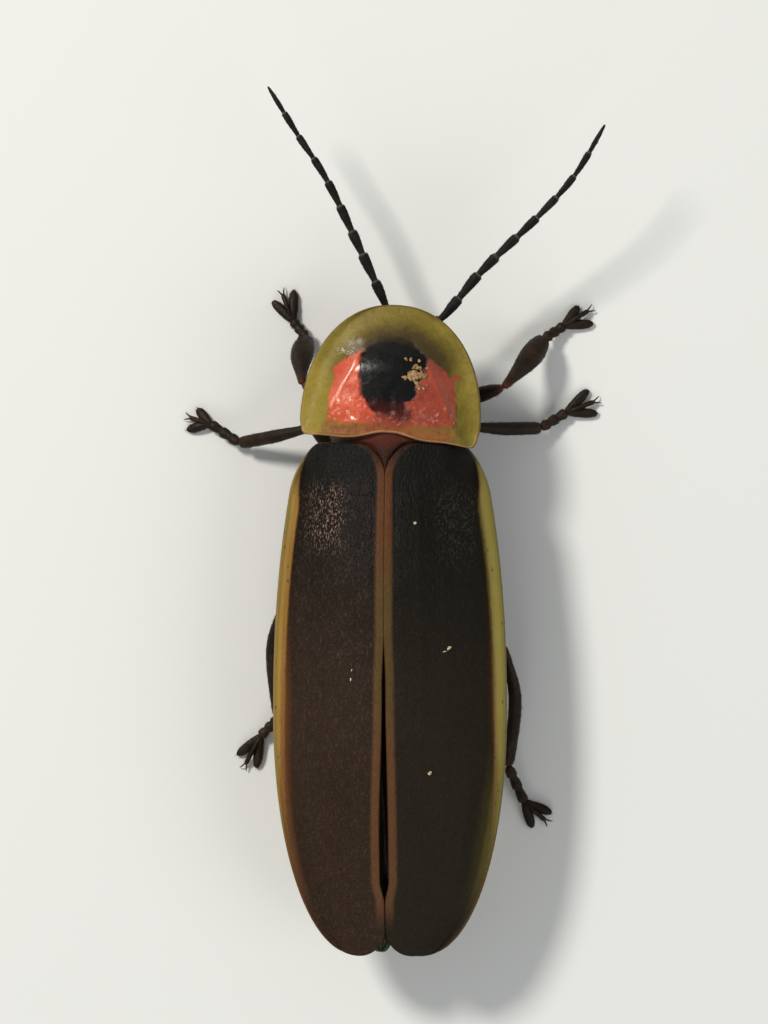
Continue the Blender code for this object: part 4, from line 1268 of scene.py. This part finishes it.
def trunk_rings(stations, count=72):
    """Squarish rings that swell in front of each seam, pleated, kept under the shield and the cases."""
    angle = ring_angles(count)
    outward = signed_power(np.cos(angle), 2.0 / TRUNK_POWER)
    lift = signed_power(np.sin(angle), 2.0 / TRUNK_POWER)
    rings = []
    for s in stations:
        half, bottom, middle, top = trunk_shape(s)
        behind = s - TRUNK_SEAMS
        lap = 0.035 * np.sum(smooth(-0.22, -0.02, behind) * (1.0 - smooth(-0.02, 0.02, behind)))
        z = middle + np.where(lift > 0, top - middle, middle - bottom + lap) * lift
        pleat = 0.05 * hump(lift, -0.12, 0.10) * float(smooth(6.9, 7.3, s))
        x = (half + lap) * outward - np.sign(outward) * pleat
        if s < CASE_FRONT:
            roof = under_shield(x, np.full(count, s)) - 0.03
        else:
            roof = case_top(x, np.full(count, s)) - mix(0.20, 0.60, smooth(3.1, 3.7, s))
        z = np.minimum(z, roof)
        rings.append(np.stack([x, np.full(count, s), z], 1))
    return np.array(rings)


def make_trunk():
    """Chest and abdomen in one skin, with extra rings at each seam and rounded ends."""
    stations = np.unique(np.concatenate([
        np.linspace(TRUNK_FRONT + 0.06, ABDOMEN_TIP - 0.02, 190),
        np.concatenate([np.linspace(seam - 0.05, seam + 0.04, 10) for seam in TRUNK_SEAMS]),
        ABDOMEN_TIP - 0.12 * (1.0 - np.sin(np.linspace(0.0, 0.5 * math.pi, 8))),
    ]))
    stations = stations[stations < ABDOMEN_TIP]
    rings = trunk_rings(stations)
    centre = rings.mean(axis=1, keepdims=True)
    closing = quarter_round((stations - TRUNK_FRONT) / 0.22)
    closing *= np.maximum(quarter_round((ABDOMEN_TIP + 0.01 - stations) / 0.30), 0.1)
    rings = centre + (rings - centre) * closing[:, None, None]
    nearest = np.min(np.abs(stations[:, None] - TRUNK_SEAMS[None, :]), axis=1)
    joint = around(0.45 * (1.0 - smooth(0.0, 0.09, nearest)), rings.shape[1])
    cover = np.where(rings[..., 2] < 2.0, 1.0, 0.15)
    return grid_mesh("trunk", rings, "fan", {"joint": joint, "cover": cover})


def make_lantern(ring):
    """One pale plate wrapped under the tail."""
    stations = np.linspace(ring_edge(ring - 1) + 0.02, ring_edge(ring) + 0.01, 26)
    count = 160
    belt = trunk_rings(stations, count)[:, int(count * 0.545):int(count * 0.955), :]
    outward = belt - LANTERN_CENTRE
    outward[..., 1] = 0.0
    outward /= np.linalg.norm(outward, axis=2, keepdims=True)
    side_round = round_ends(np.linspace(0.0, 1.0, belt.shape[1]), 16)
    end_round = round_ends(np.linspace(0.0, 1.0, len(stations)), 10)
    raised = 0.035 * side_round[None, :] * end_round[:, None] + 0.002
    upper = belt + outward * raised[..., None]
    lower = belt - outward * 0.03
    rings = np.concatenate([upper, lower[:, ::-1]], axis=1)
    edge = np.minimum(end_round[:, None], side_round[None, :])
    joint = 1.0 - smooth(0.3, 0.95, np.concatenate([edge, edge[:, ::-1]], axis=1))
    return grid_mesh(f"lantern_{ring}", rings, "strip", {"joint": joint})


def make_scutellum():
    """Plate that fills the notch between the wing cases, its sides tucked under them."""
    rows, columns = 34, 48
    share = np.linspace(0.0, 1.0, rows)
    angle = ring_angles(columns)
    c = np.cos(angle)
    d = np.sin(angle)
    keel = 0.030 * hump(c, 0.0, 0.35) * (d > 0)
    rings = []
    for t in share:
        station = mix(SCUTELLUM_FRONT, SCUTELLUM_TIP, t)
        under = np.array(max(station, CASE_FRONT))
        half = (float(case_inner(under)) + 0.07) * math.sqrt(max(0.03, 1.0 - t ** 12))
        high = float(case_top(np.array(0.0), under)) - 0.055
        fall = 0.13 * np.abs(c) ** 3.0 + 0.04 * hump(np.abs(c), 0.72, 0.1) * (1.0 - t)
        z = high - fall - 0.05 + 0.05 * signed_power(d, 0.7) + keel
        rings.append(np.stack([seam_x(station) + half * c, np.full(columns, station), z], 1))
    joint = around(0.9 * (1.0 - smooth(0.10, 0.50, share)), columns)
    extras = {"joint": joint, "cover": np.ones((rows, columns))}
    return grid_mesh("scutellum", np.array(rings), "fan", extras)


# Head


def ball(centre, sizes, rings, sides):
    """Rings of an egg, from its bottom to its top."""
    tilt = np.linspace(-0.5 * math.pi + 0.02, 0.5 * math.pi - 0.02, rings)
    angle = ring_angles(sides)
    out = np.zeros((rings, sides, 3))
    out[..., 0] = centre[0] + sizes[0] * np.cos(tilt)[:, None] * np.cos(angle)[None, :]
    out[..., 1] = centre[1] + sizes[1] * np.cos(tilt)[:, None] * np.sin(angle)[None, :]
    out[..., 2] = centre[2] + sizes[2] * np.sin(tilt)[:, None]
    return out


def plain_skin(name, rings, joint=0.0, cover=1.0):
    """Skin as red as a joint and as hairy as said, all over."""
    shape = rings.shape[:2]
    return grid_mesh(name, rings, "fan", {"joint": np.full(shape, joint), "cover": np.full(shape, cover)})


def skull_rings():
    """Skull with a groove between the feelers and a low brow on each side of it."""
    station = np.linspace(HEAD_BACK, HEAD_FRONT, 46)
    half_at = (HEAD_FRONT, 0.60, 0.70, 0.86, 1.15, 1.45, HEAD_BACK)
    half = np.interp(station, half_at, (0.10, 0.22, 0.36, 0.50, 0.58, 0.50, 0.30))
    middle = np.interp(station, (HEAD_FRONT, 0.70, 0.9, 1.2, HEAD_BACK), (1.36, 1.40, 1.46, 1.50, 1.54))
    high_at = (HEAD_FRONT, 0.62, 0.74, 0.95, 1.2, 1.5, HEAD_BACK)
    high = np.interp(station, high_at, (0.10, 0.22, 0.34, 0.44, 0.46, 0.40, 0.26))
    angle = ring_angles(56)
    c = np.cos(angle)
    d = np.sin(angle)
    x = half[:, None] * signed_power(c, 0.9)
    z = middle[:, None] + high[:, None] * signed_power(d, 0.9)
    groove = 0.08 * hump(x, 0.0, 0.09) * (d > 0) * (1.0 - smooth(0.7, 1.3, station))[:, None]
    brow = 0.05 * hump(np.abs(x), 0.20, 0.10) * (d > 0) * hump(station, 0.82, 0.16)[:, None]
    return np.stack([HEAD_X + x, around(station, 56), z - groove + brow], axis=-1)


def make_head():
    """Skull, the two feeler sockets, the rims round the eyes, muzzle and lip plate."""
    pieces = [plain_skin("skull", skull_rings(), 0.0, 0.8)]
    for _, side in SIDES:
        knob = ball((HEAD_X + side * 0.20, 0.68, 1.62), (0.13, 0.15, 0.12), 18, 24)
        pieces.append(plain_skin("socket", knob, 0.7, 0.3))
        rim = ball((HEAD_X + side * 0.50, EYE_STATION, EYE_HEIGHT), (0.33, 0.45, 0.45), 24, 36)
        pieces.append(plain_skin("eye_rim", rim, 0.3, 0.4))
    muzzle = ball((HEAD_X, 0.80, 1.14), (0.34, 0.26, 0.22), 26, 40)
    pieces.append(plain_skin("muzzle", muzzle, 0.35))
    lip = tube([(HEAD_X, 0.66, 1.20), (HEAD_X, 0.55, 1.14), (HEAD_X, 0.49, 1.04)],
               lambda t: 0.34 - 0.06 * t, lambda t: 0.10 - 0.04 * t, 20, 20, 5.0)
    pieces.append(plain_skin("lip", lip, 0.6))
    return join_meshes("head", pieces)


def make_eye(side, word):
    sizes = (EYE_RADIUS - 0.02, EYE_RADIUS - 0.01, EYE_RADIUS)
    rings = ball((HEAD_X + side * 0.60, EYE_STATION, EYE_HEIGHT), sizes, 60, 72)
    return grid_mesh("eye_" + word, rings, "fan")


def beside_mouth(side, places):
    """Route given outwards from the middle of the head, on one side of it."""
    return [(HEAD_X + side * out, station, height) for out, station, height in places]


def make_jaw(side):
    """Curved jaw that tapers to a point."""
    route = beside_mouth(side, ((0.17, 0.68, 1.06), (0.23, 0.45, 0.96), (0.03, 0.32, 0.90)))
    rings = tube(route, lambda t: 0.13 * (1.0 - 0.80 * t), lambda t: 0.10 * (1.0 - 0.7 * t), 24, 16)
    return plain_skin("jaw", rings, 0.4)


def make_palp(side):
    """Jointed palp whose last segment is the largest."""
    route = beside_mouth(side, ((0.22, 0.80, 1.04), (0.44, 0.66, 0.84), (0.48, 0.44, 0.64)))
    rows, columns = 48, 16

    def width(t):
        number, within = beads(t, len(PALP_WIDTHS))
        return np.array(PALP_WIDTHS)[number] * (0.62 + 0.38 * np.sin(math.pi * within) ** 0.5)

    rings = tube(route, width, lambda t: width(t) * 0.8, rows, columns)
    place = np.linspace(0.0, 1.0, rows) * len(PALP_WIDTHS)
    extras = {"joint": around(hump(place % 1.0, 0.0, 0.15), columns), "cover": np.ones((rows, columns))}
    return grid_mesh("palp", rings, "fan", extras)


# Feelers

FEELER_ROUTES = {
    "left": [(0.03, 0.66, 1.62), (0.09, 0.36, 1.68), (0.13, 0.00, 1.72), (0.63, -1.12, 1.85),
             (1.37, -2.68, 2.00), (2.00, -3.67, 2.10), (2.65, -4.73, 2.20)],
    "right": [(-0.46, 0.60, 1.62), (-0.76, 0.40, 1.68), (-1.13, 0.22, 1.74), (-1.97, -0.75, 1.90),
              (-3.23, -1.94, 2.20), (-3.99, -2.78, 2.40), (-4.64, -3.84, 2.60)],
}


def evenly(points, count):
    """Points at even distances along the smooth route."""
    t = np.linspace(0.0, 1.0, 600)
    path = spline(points, t)
    run = np.concatenate([[0.0], np.cumsum(np.linalg.norm(np.diff(path, axis=0), axis=1))])
    wanted = np.linspace(0.0, run[-1], count)
    return np.stack([np.interp(wanted, run, path[:, axis]) for axis in range(3)], axis=1)


def make_feeler(word):
    """Stem, small second segment and nine long ones, each widening to its cut-off far end."""
    route = evenly(FEELER_ROUTES[word], 60)
    ends = np.cumsum(FEELER_SEGMENTS) / sum(FEELER_SEGMENTS)
    starts = np.concatenate([[0.0], ends[:-1]])
    rows = 16 * len(FEELER_SEGMENTS)

    def within(t):
        number = np.minimum(np.searchsorted(ends, t, side="right"), len(ends) - 1)
        return (t - starts[number]) / (ends[number] - starts[number])

    def width(t):
        share = within(t)
        flare = 0.60 + 0.40 * smooth(-0.1, 0.80, share)
        shut = np.sqrt(np.clip(1.0 - 0.62 * smooth(0.93, 1.0, share) ** 2, 0.0, 1.0))
        point = 1.0 - 0.55 * smooth(ends[-2] + 0.02, 1.0, t)
        return FEELER_WIDTH * flare * shut * point * mix(1.0, 0.62, smooth(0.25, 0.95, t))

    rings = tube(route, width, lambda t: width(t) * 0.85, rows, FEELER_SIDES, 60.0, 1.0)
    share = within(np.linspace(0.002, 0.998, rows))
    joint = 1.0 - smooth(0.0, 0.10, np.minimum(share, 1.0 - share))
    extras = {"joint": around(joint, FEELER_SIDES), "cover": np.ones((rows, FEELER_SIDES))}
    return grid_mesh("feeler_" + word, rings, "fan", extras)


# Legs

LEG_POSES = {
    "front_left": {
        "hip": (0.52, 2.28, 0.74), "knee": (1.96, 1.68, 1.55), "shin": (2.02, 1.14, 1.02),
        "ankle": (1.97, 0.64, 0.40), "fork": (2.28, 0.26, 0.16),
        "lobes": ((2.74, -0.18, 0.10), (2.27, -0.43, 0.10)), "toe": (2.55, -0.43, 0.10),
    },
    "front_right": {
        "hip": (-0.66, 2.24, 0.74), "knee": (-2.40, 1.76, 1.35), "shin": (-2.87, 1.20, 0.90),
        "ankle": (-3.24, 0.67, 0.40), "fork": (-3.67, 0.38, 0.16),
        "lobes": ((-3.99, -0.05, 0.10), (-4.31, 0.33, 0.10)), "toe": (-4.30, -0.01, 0.10),
    },
    "middle_left": {
        "hip": (0.56, 3.86, 0.74), "knee": (1.76, 2.62, 1.30), "shin": (2.60, 2.80, 0.86),
        "ankle": (3.44, 2.94, 0.38), "fork": (4.11, 2.51, 0.16),
        "lobes": ((4.40, 2.18, 0.10), (4.63, 2.65, 0.10)), "toe": (4.66, 2.35, 0.10),
    },
    "middle_right": {
        "hip": (-0.56, 3.86, 0.74), "knee": (-1.60, 2.60, 1.30), "shin": (-2.38, 2.64, 0.86),
        "ankle": (-3.17, 2.62, 0.38), "fork": (-3.72, 2.27, 0.16),
        "lobes": ((-4.20, 1.78, 0.10), (-4.40, 2.30, 0.10)), "toe": (-4.44, 2.00, 0.10),
    },
    "hind_left": {
        "hip": (0.50, 6.62, 0.70), "knee": (2.30, 6.28, 1.42), "shin": (2.64, 7.42, 1.12),
        "ankle": (2.57, 8.96, 0.40), "fork": (2.99, 9.37, 0.16),
        "lobes": ((3.52, 9.80, 0.10), (3.09, 10.08, 0.10)), "toe": (3.38, 10.09, 0.10),
    },
    "hind_right": {
        "hip": (-0.50, 6.62, 0.70), "knee": (-2.40, 7.34, 1.42), "shin": (-2.64, 8.52, 1.10),
        "ankle": (-2.45, 10.00, 0.40), "fork": (-2.80, 10.80, 0.16),
        "lobes": ((-3.40, 11.04, 0.10), (-2.97, 11.37, 0.10)), "toe": (-3.34, 11.27, 0.10),
    },
}

# Each shin: its greatest width, how far down that lies, and how much it narrows beyond
SHIN_SHAPES = {"front": (0.50, 0.66, 0.45), "middle": (0.285, 0.55, 0.10), "hind": (0.285, 0.55, 0.10)}
KNEE_WIDTH = 0.18
CLAW_TIP_HEIGHT = 0.015
UP = np.array([0.0, 0.0, 1.0])


def leg_piece(name, rings, start_joint, end_joint, cover=1.0):
    """Skin that reddens towards its two joints as much as said."""
    rows, columns = rings.shape[:2]
    t = np.linspace(0.0, 1.0, rows)
    joint = start_joint * (1.0 - smooth(0.0, 0.22, t)) + end_joint * smooth(0.80, 1.0, t)
    extras = {"joint": around(joint, columns), "cover": np.full((rows, columns), cover)}
    return grid_mesh(name, rings, "fan", extras)


def make_hip(hip, knee):
    """Hip cone under the chest and the small ring that joins it to the thigh."""
    side = np.array([math.copysign(1.0, hip[0]), 0.0, 0.0])
    root = hip - 0.06 * side + 0.62 * UP
    end = hip - 0.26 * side - 0.04 * UP
    cone = tube([root, mix(root, end, 0.5), end],
                lambda t: 0.56 - 0.20 * t, lambda t: 0.62 - 0.22 * t, 30, 24, 12.0)
    ring = tube([end + 0.02 * side + 0.02 * UP, mix(end, hip, 0.6), mix(hip, knee, 0.07)],
                lambda t: 0.27 - 0.02 * t, None, 18, 20)
    return [leg_piece("coxa", cone, 0.2, 0.7, 0.5), leg_piece("trochanter", ring, 0.8, 0.6)]


def make_thigh(hip, knee):
    """Thigh, thickest in the middle."""

    def swell(t):
        return np.sin(math.pi * np.clip(t * 1.02, 0, 1)) ** 0.8

    thigh = tube([hip, mix(hip, knee, 0.5) - 0.05 * UP, knee],
                 lambda t: 0.22 + 0.15 * swell(t), lambda t: 0.22 + 0.13 * swell(t), 48, 24)
    return leg_piece("femur", thigh, 0.5, 1.0)


def make_shin(knee, shin, ankle, pair):
    """Shin that widens from the knee; the front pair is broad and flat."""
    broad, peak, taper = SHIN_SHAPES[pair]

    def width(t):
        swell = smooth(0.0, peak, t) * (1.0 - taper * smooth(peak + 0.06, 1.0, t))
        return mix(KNEE_WIDTH, broad, swell)

    lower = tube([knee, shin, ankle], width, lambda t: width(t) * 0.80, 56, 24, 22.0)
    return leg_piece("tibia", lower, 1.0, 0.35)


def make_foot(ankle, fork, lobes):
    """Three beads, then a segment with two lobes."""

    def width(t):
        _, within = beads(t, 3)
        return 0.180 + 0.055 * smooth(0.0, 0.7, within) - 0.050 * smooth(0.86, 1.0, within)

    line = [ankle, mix(ankle, fork, 0.45) - 0.05 * UP, fork]
    foot = tube(line, width, lambda t: width(t) * 0.9, 60, 18, 16.0, 0.8)
    pieces = [leg_piece("foot", on_floor(foot), 0.2, 0.1)]
    for lobe in lobes:
        route = [fork - 0.10 * (lobe - fork), mix(fork, lobe, 0.5) - 0.02 * UP, lobe - 0.03 * UP]
        blade = tube(route, lambda t: 0.155 + 0.055 * np.sin(math.pi * t ** 1.3),
                     lambda t: np.full_like(t, 0.11), 30, 18, 5.0)
        pieces.append(leg_piece("lobe", on_floor(blade), 0.0, 0.0, 1.5))
    return pieces


def make_claws(fork, toe):
    """Last foot segment and its two spread claws."""
    ahead = (toe - fork) / np.linalg.norm(toe - fork)
    aside = np.cross(ahead, UP)
    end = toe - 0.10 * ahead
    last = tube([fork, mix(fork, end, 0.5) + 0.05 * UP, end],
                lambda t: 0.075 + 0.040 * t, lambda t: 0.075 + 0.035 * t, 26, 14)
    pieces = [leg_piece("last", on_floor(last), 0.1, 0.2)]
    for spread in (-1.0, 1.0):
        base = end - 0.02 * ahead + 0.02 * spread * aside
        tip = end + 0.12 * ahead + 0.10 * spread * aside
        tip[2] = CLAW_TIP_HEIGHT
        bow = mix(base, tip, 0.55) + 0.03 * ahead + 0.035 * UP
        claw = tube([base, bow, tip], lambda t: 0.042 * (1.0 - 0.85 * t), None, 16, 10)
        pieces.append(leg_piece("claw", on_floor(claw), 0.8, 0.8, 0.0))
    return pieces


def make_leg(word):
    """Hip, thigh, shin, five foot segments of which the fourth has two lobes, and claws."""
    pose = {key: np.array(value, dtype=float) for key, value in LEG_POSES[word].items()}
    pieces = make_hip(pose["hip"], pose["knee"])
    pieces.append(make_thigh(pose["hip"], pose["knee"]))
    pieces.append(make_shin(pose["knee"], pose["shin"], pose["ankle"], word.split("_")[0]))
    pieces += make_foot(pose["ankle"], pose["fork"], pose["lobes"])
    pieces += make_claws(pose["fork"], pose["toe"])
    return join_meshes("leg_" + word, pieces)


# Crumbs and flecks that lie on the shield and the wing cases

# Each fleck: x, station, length, width and turn
CASE_FLECKS = (
    (-0.60, 4.69, 0.075, 0.050, 0.4), (-1.31, 7.36, 0.150, 0.060, 0.64), (-1.21, 7.43, 0.130, 0.022, 0.2),
    (0.74, 7.82, 0.050, 0.035, 1.3), (0.76, 8.02, 0.070, 0.035, 1.4), (-0.92, 10.01, 0.090, 0.060, 0.9),
)

# Each group on the shield: middle across and back, spread, number and size
CRUMB_GROUPS = (
    (-0.50, 1.52, 0.085, 17, 0.125), (-0.60, 1.36, 0.06, 6, 0.085), (-0.44, 1.20, 0.05, 4, 0.075),
    (-0.62, 1.76, 0.06, 6, 0.075), (-0.36, 1.56, 0.05, 4, 0.07),
)


def make_crumbs(name, places, seed):
    """Small ragged flakes: each place is (x, station, height, length, width, turn)."""
    draw = np.random.default_rng(seed)
    pieces = []
    for x, station, height, length, width, turn in places:
        rings = ball((0.0, 0.0, 0.0), (length * 0.5, width * 0.5, width * 0.20), 10, 18)
        ragged = 1.0 + 0.55 * (draw.random(18) - 0.5)
        rings = rings * (ragged[None, :] * (1.0 + 0.25 * (draw.random(rings.shape[:2]) - 0.5)))[..., None]
        c = math.cos(turn)
        d = math.sin(turn)
        arch = 0.25 * rings[..., 0] ** 2 / length + draw.uniform(-0.25, 0.25) * rings[..., 1]
        turned = np.stack([
            x + c * rings[..., 0] - d * rings[..., 1], station + d * rings[..., 0] + c * rings[..., 1],
            height + rings[..., 2] + arch,
        ], axis=-1)
        pieces.append(grid_mesh("crumb", turned, "fan"))
    return join_meshes(name, pieces)


def crumb_finish(name, light, dark):
    """Dull mottled crumb."""
    paint = Paint(name)
    mottle = paint.noise(paint.place(), 16.0, 3.0)
    painted = paint.blend(dark, light, mottle.rise(0.35, 0.65))
    return paint.finish({"Base Color": painted, "Normal": paint.bump(mottle, 0.02)}, {"Roughness": 0.7})


def add_crumb_patch():
    """A crumbly tan patch on the right of the shield's black spot."""
    draw = np.random.default_rng(7)
    places = []
    for centre_u, centre_v, spread, count, size in CRUMB_GROUPS:
        for _ in range(count):
            u = np.array(centre_u + spread * draw.normal() * 1.3)
            v = np.array(centre_v + spread * draw.normal() * 0.8)
            x, station, height = turn_shield(u, v, shield_top(u, v))
            wide = size * draw.uniform(0.5, 1.1)
            turn = draw.uniform(0.0, math.pi)
            places.append((float(x), float(station), float(height) + 0.014, wide * 1.3, wide, turn))
    tan = crumb_finish("crumb", colour(176, 140, 92), colour(122, 92, 54))
    place_piece("crumbs", make_crumbs("crumbs", places, 5), (), tan)


def add_flecks():
    """Pale flecks on the wing cases."""
    places = []
    for x, station, length, width, turn in CASE_FLECKS:
        height = float(case_top(np.array(x), np.array(station))) + 0.012
        places.append((x, station, height, length, width, turn))
    white = crumb_finish("fleck", colour(226, 208, 176), colour(168, 140, 104))
    place_piece("flecks", make_crumbs("flecks", places, 6), (), white)


# The pieces


def place_haired(name, suffix, mesh, nodes, skin, hair, hairs, seed):
    """A piece, and beside it the short hairs that grow on it."""
    grow_hairs(name + "_hairs" + suffix, mesh, hair, hairs, seed)
    place_piece(name + suffix, mesh, nodes, skin)


def add_shield():
    down = plain_hair_finish("shield_hair", colour(150, 124, 60))
    place_haired("shield", "", make_shield(), ("pronotum",), shield_finish(), down,
                 SHIELD_HAIRS, 11)


def add_wings():
    for word, side in SIDES:
        place_haired("wing_case", "_" + word, make_wing_case(side, word), ("elytron_" + word,),
                     wing_case_finish(side, word), wing_case_hair_finish(side, word), CASE_HAIRS, 20 + side)
    membrane = membrane_finish()
    for word, side in SIDES:
        wing = make_hind_wing(side, word)
        place_piece("hind_wing_" + word, wing, ("hindwing_" + word,), membrane)


def add_face(rust):
    glass_black = eye_finish()
    for word, side in SIDES:
        place_piece("eye_" + word, make_eye(side, word), ("eye_" + word,), glass_black)
        place_piece("jaw_" + word, make_jaw(side), ("mandible_" + word,), rust)
        place_piece("palp_" + word, make_palp(side), ("palp_" + word,), rust)


def add_body():
    """Trunk, lantern plates, scutellum, head and face."""
    skin = shell_finish("body_skin", colour(50, 33, 22), colour(82, 55, 36), colour(112, 68, 44), 0.5)
    down = plain_hair_finish("body_hair", colour(128, 100, 72))
    covered = ["prosternum", "mesothorax", "metathorax", "abdomen_tip"]
    covered += [f"abdomen_ring_{k + 1}" for k in range(ABDOMEN_RINGS) if k + 1 not in LANTERN_RINGS]
    place_haired("trunk", "", make_trunk(), covered, skin, down, TRUNK_HAIRS, 31)
    pale = lantern_finish()
    for ring in LANTERN_RINGS:
        place_piece(f"lantern_{ring}", make_lantern(ring), (f"abdomen_ring_{ring}",), pale)
    rust = shell_finish("rust_skin", colour(46, 23, 13), colour(66, 34, 20), colour(84, 33, 22), 0.62)
    place_haired("scutellum", "", make_scutellum(), ("scutellum",), rust, down,
                 SCUTELLUM_HAIRS, 33)
    place_haired("head", "", make_head(), ("head",), skin, down, HEAD_HAIRS, 35)
    add_face(rust)


def add_feelers():
    black = feeler_finish()
    down = plain_hair_finish("feeler_hair", colour(36, 29, 24))
    for number, word in enumerate(FEELER_ROUTES):
        place_haired("feeler", "_" + word, make_feeler(word), ("antenna_" + word,),
                     black, down, FEELER_HAIRS, 41 + number)


def add_legs():
    brown = shell_finish("leg_skin", colour(30, 21, 12), colour(53, 38, 20), colour(88, 42, 22), 0.42)
    down = plain_hair_finish("leg_hair", colour(44, 32, 19))
    for number, word in enumerate(LEG_POSES):
        nodes = [part + "_" + word for part in ("coxa", "femur", "tibia", "tarsus")]
        place_haired("leg", "_" + word, make_leg(word), nodes, brown, down, LEG_HAIRS, 51 + number)


# Floor, lights and camera

# The view, in millimetres
VIEW_LEAN = math.radians(4.0)
VIEW_DISTANCE = 110.0
VIEW_TARGET = (0.106, 4.453, 2.6)
PIXELS_PER_MM = 46.64
PICTURE_HEIGHT = 1024
SENSOR = 36.0

# Each light: name, place and size in metres, watts and tint
LIGHT_AIM = (0.0, 0.0, 0.002)
LIGHTS = (
    ("key", (0.085, -0.080, 0.13), 0.036, 0.25, (1.0, 0.97, 0.92)),
    ("fill", (-0.12, 0.05, 0.12), 0.12, 0.075, (0.93, 0.97, 1.0)),
    ("back", (0.02, 0.16, 0.10), 0.09, 0.06, (1.0, 1.0, 1.0)),
)


def make_stage():
    bpy.context.scene.view_settings.view_transform = "Standard"
    bpy.ops.mesh.primitive_plane_add(size=1.6)
    floor = bpy.context.object
    floor.name = "floor"
    paper = {"Base Color": colour(222, 222, 217), "Roughness": 0.85, "Specular IOR Level": 0.2}
    floor.data.materials.append(Paint("floor_paper").finish({}, paper))
    world = bpy.data.worlds.new("studio")
    world.use_nodes = True
    sky = world.node_tree.nodes["Background"]
    sky.inputs["Color"].default_value = (0.93, 0.95, 1.0, 1.0)
    sky.inputs["Strength"].default_value = 0.33
    bpy.context.scene.world = world


def make_lights():
    for name, place, size, power, tint in LIGHTS:
        lamp = bpy.data.lights.new(name, "AREA")
        lamp.shape = "DISK"
        lamp.size = size
        lamp.energy = power
        lamp.color = tint
        item = bpy.data.objects.new(name, lamp)
        item.location = place
        item.rotation_euler = (Vector(LIGHT_AIM) - Vector(place)).to_track_quat("-Z", "Y").to_euler()
        bpy.context.scene.collection.objects.link(item)


def make_camera():
    """Long lens straight above, leaning a little, with the head towards the top of the picture."""
    lens = bpy.data.cameras.new("camera")
    lens.sensor_width = SENSOR
    lens.sensor_fit = "AUTO"
    lens.lens = PIXELS_PER_MM * VIEW_DISTANCE / PICTURE_HEIGHT * SENSOR
    lens.clip_start = 0.001
    lens.clip_end = 10.0
    lean_x = math.sin(VIEW_LEAN)
    lean_z = math.cos(VIEW_LEAN)
    right = Vector((-lean_z, 0.0, -lean_x))
    up = Vector((0.0, -1.0, 0.0))
    back = Vector((-lean_x, 0.0, lean_z))
    target = Vector(VIEW_TARGET) - Vector((0.0, ORIGIN_STATION, 0.0))
    eye = (target + back * VIEW_DISTANCE) * MM
    item = bpy.data.objects.new("camera", lens)
    item.matrix_world = Matrix.Translation(eye) @ Matrix((right, up, back)).transposed().to_4x4()
    bpy.context.scene.collection.objects.link(item)
    bpy.context.scene.camera = item


add_shield()
add_wings()
add_body()
add_feelers()
add_crumb_patch()
add_flecks()
add_legs()
make_stage()
make_lights()
make_camera()
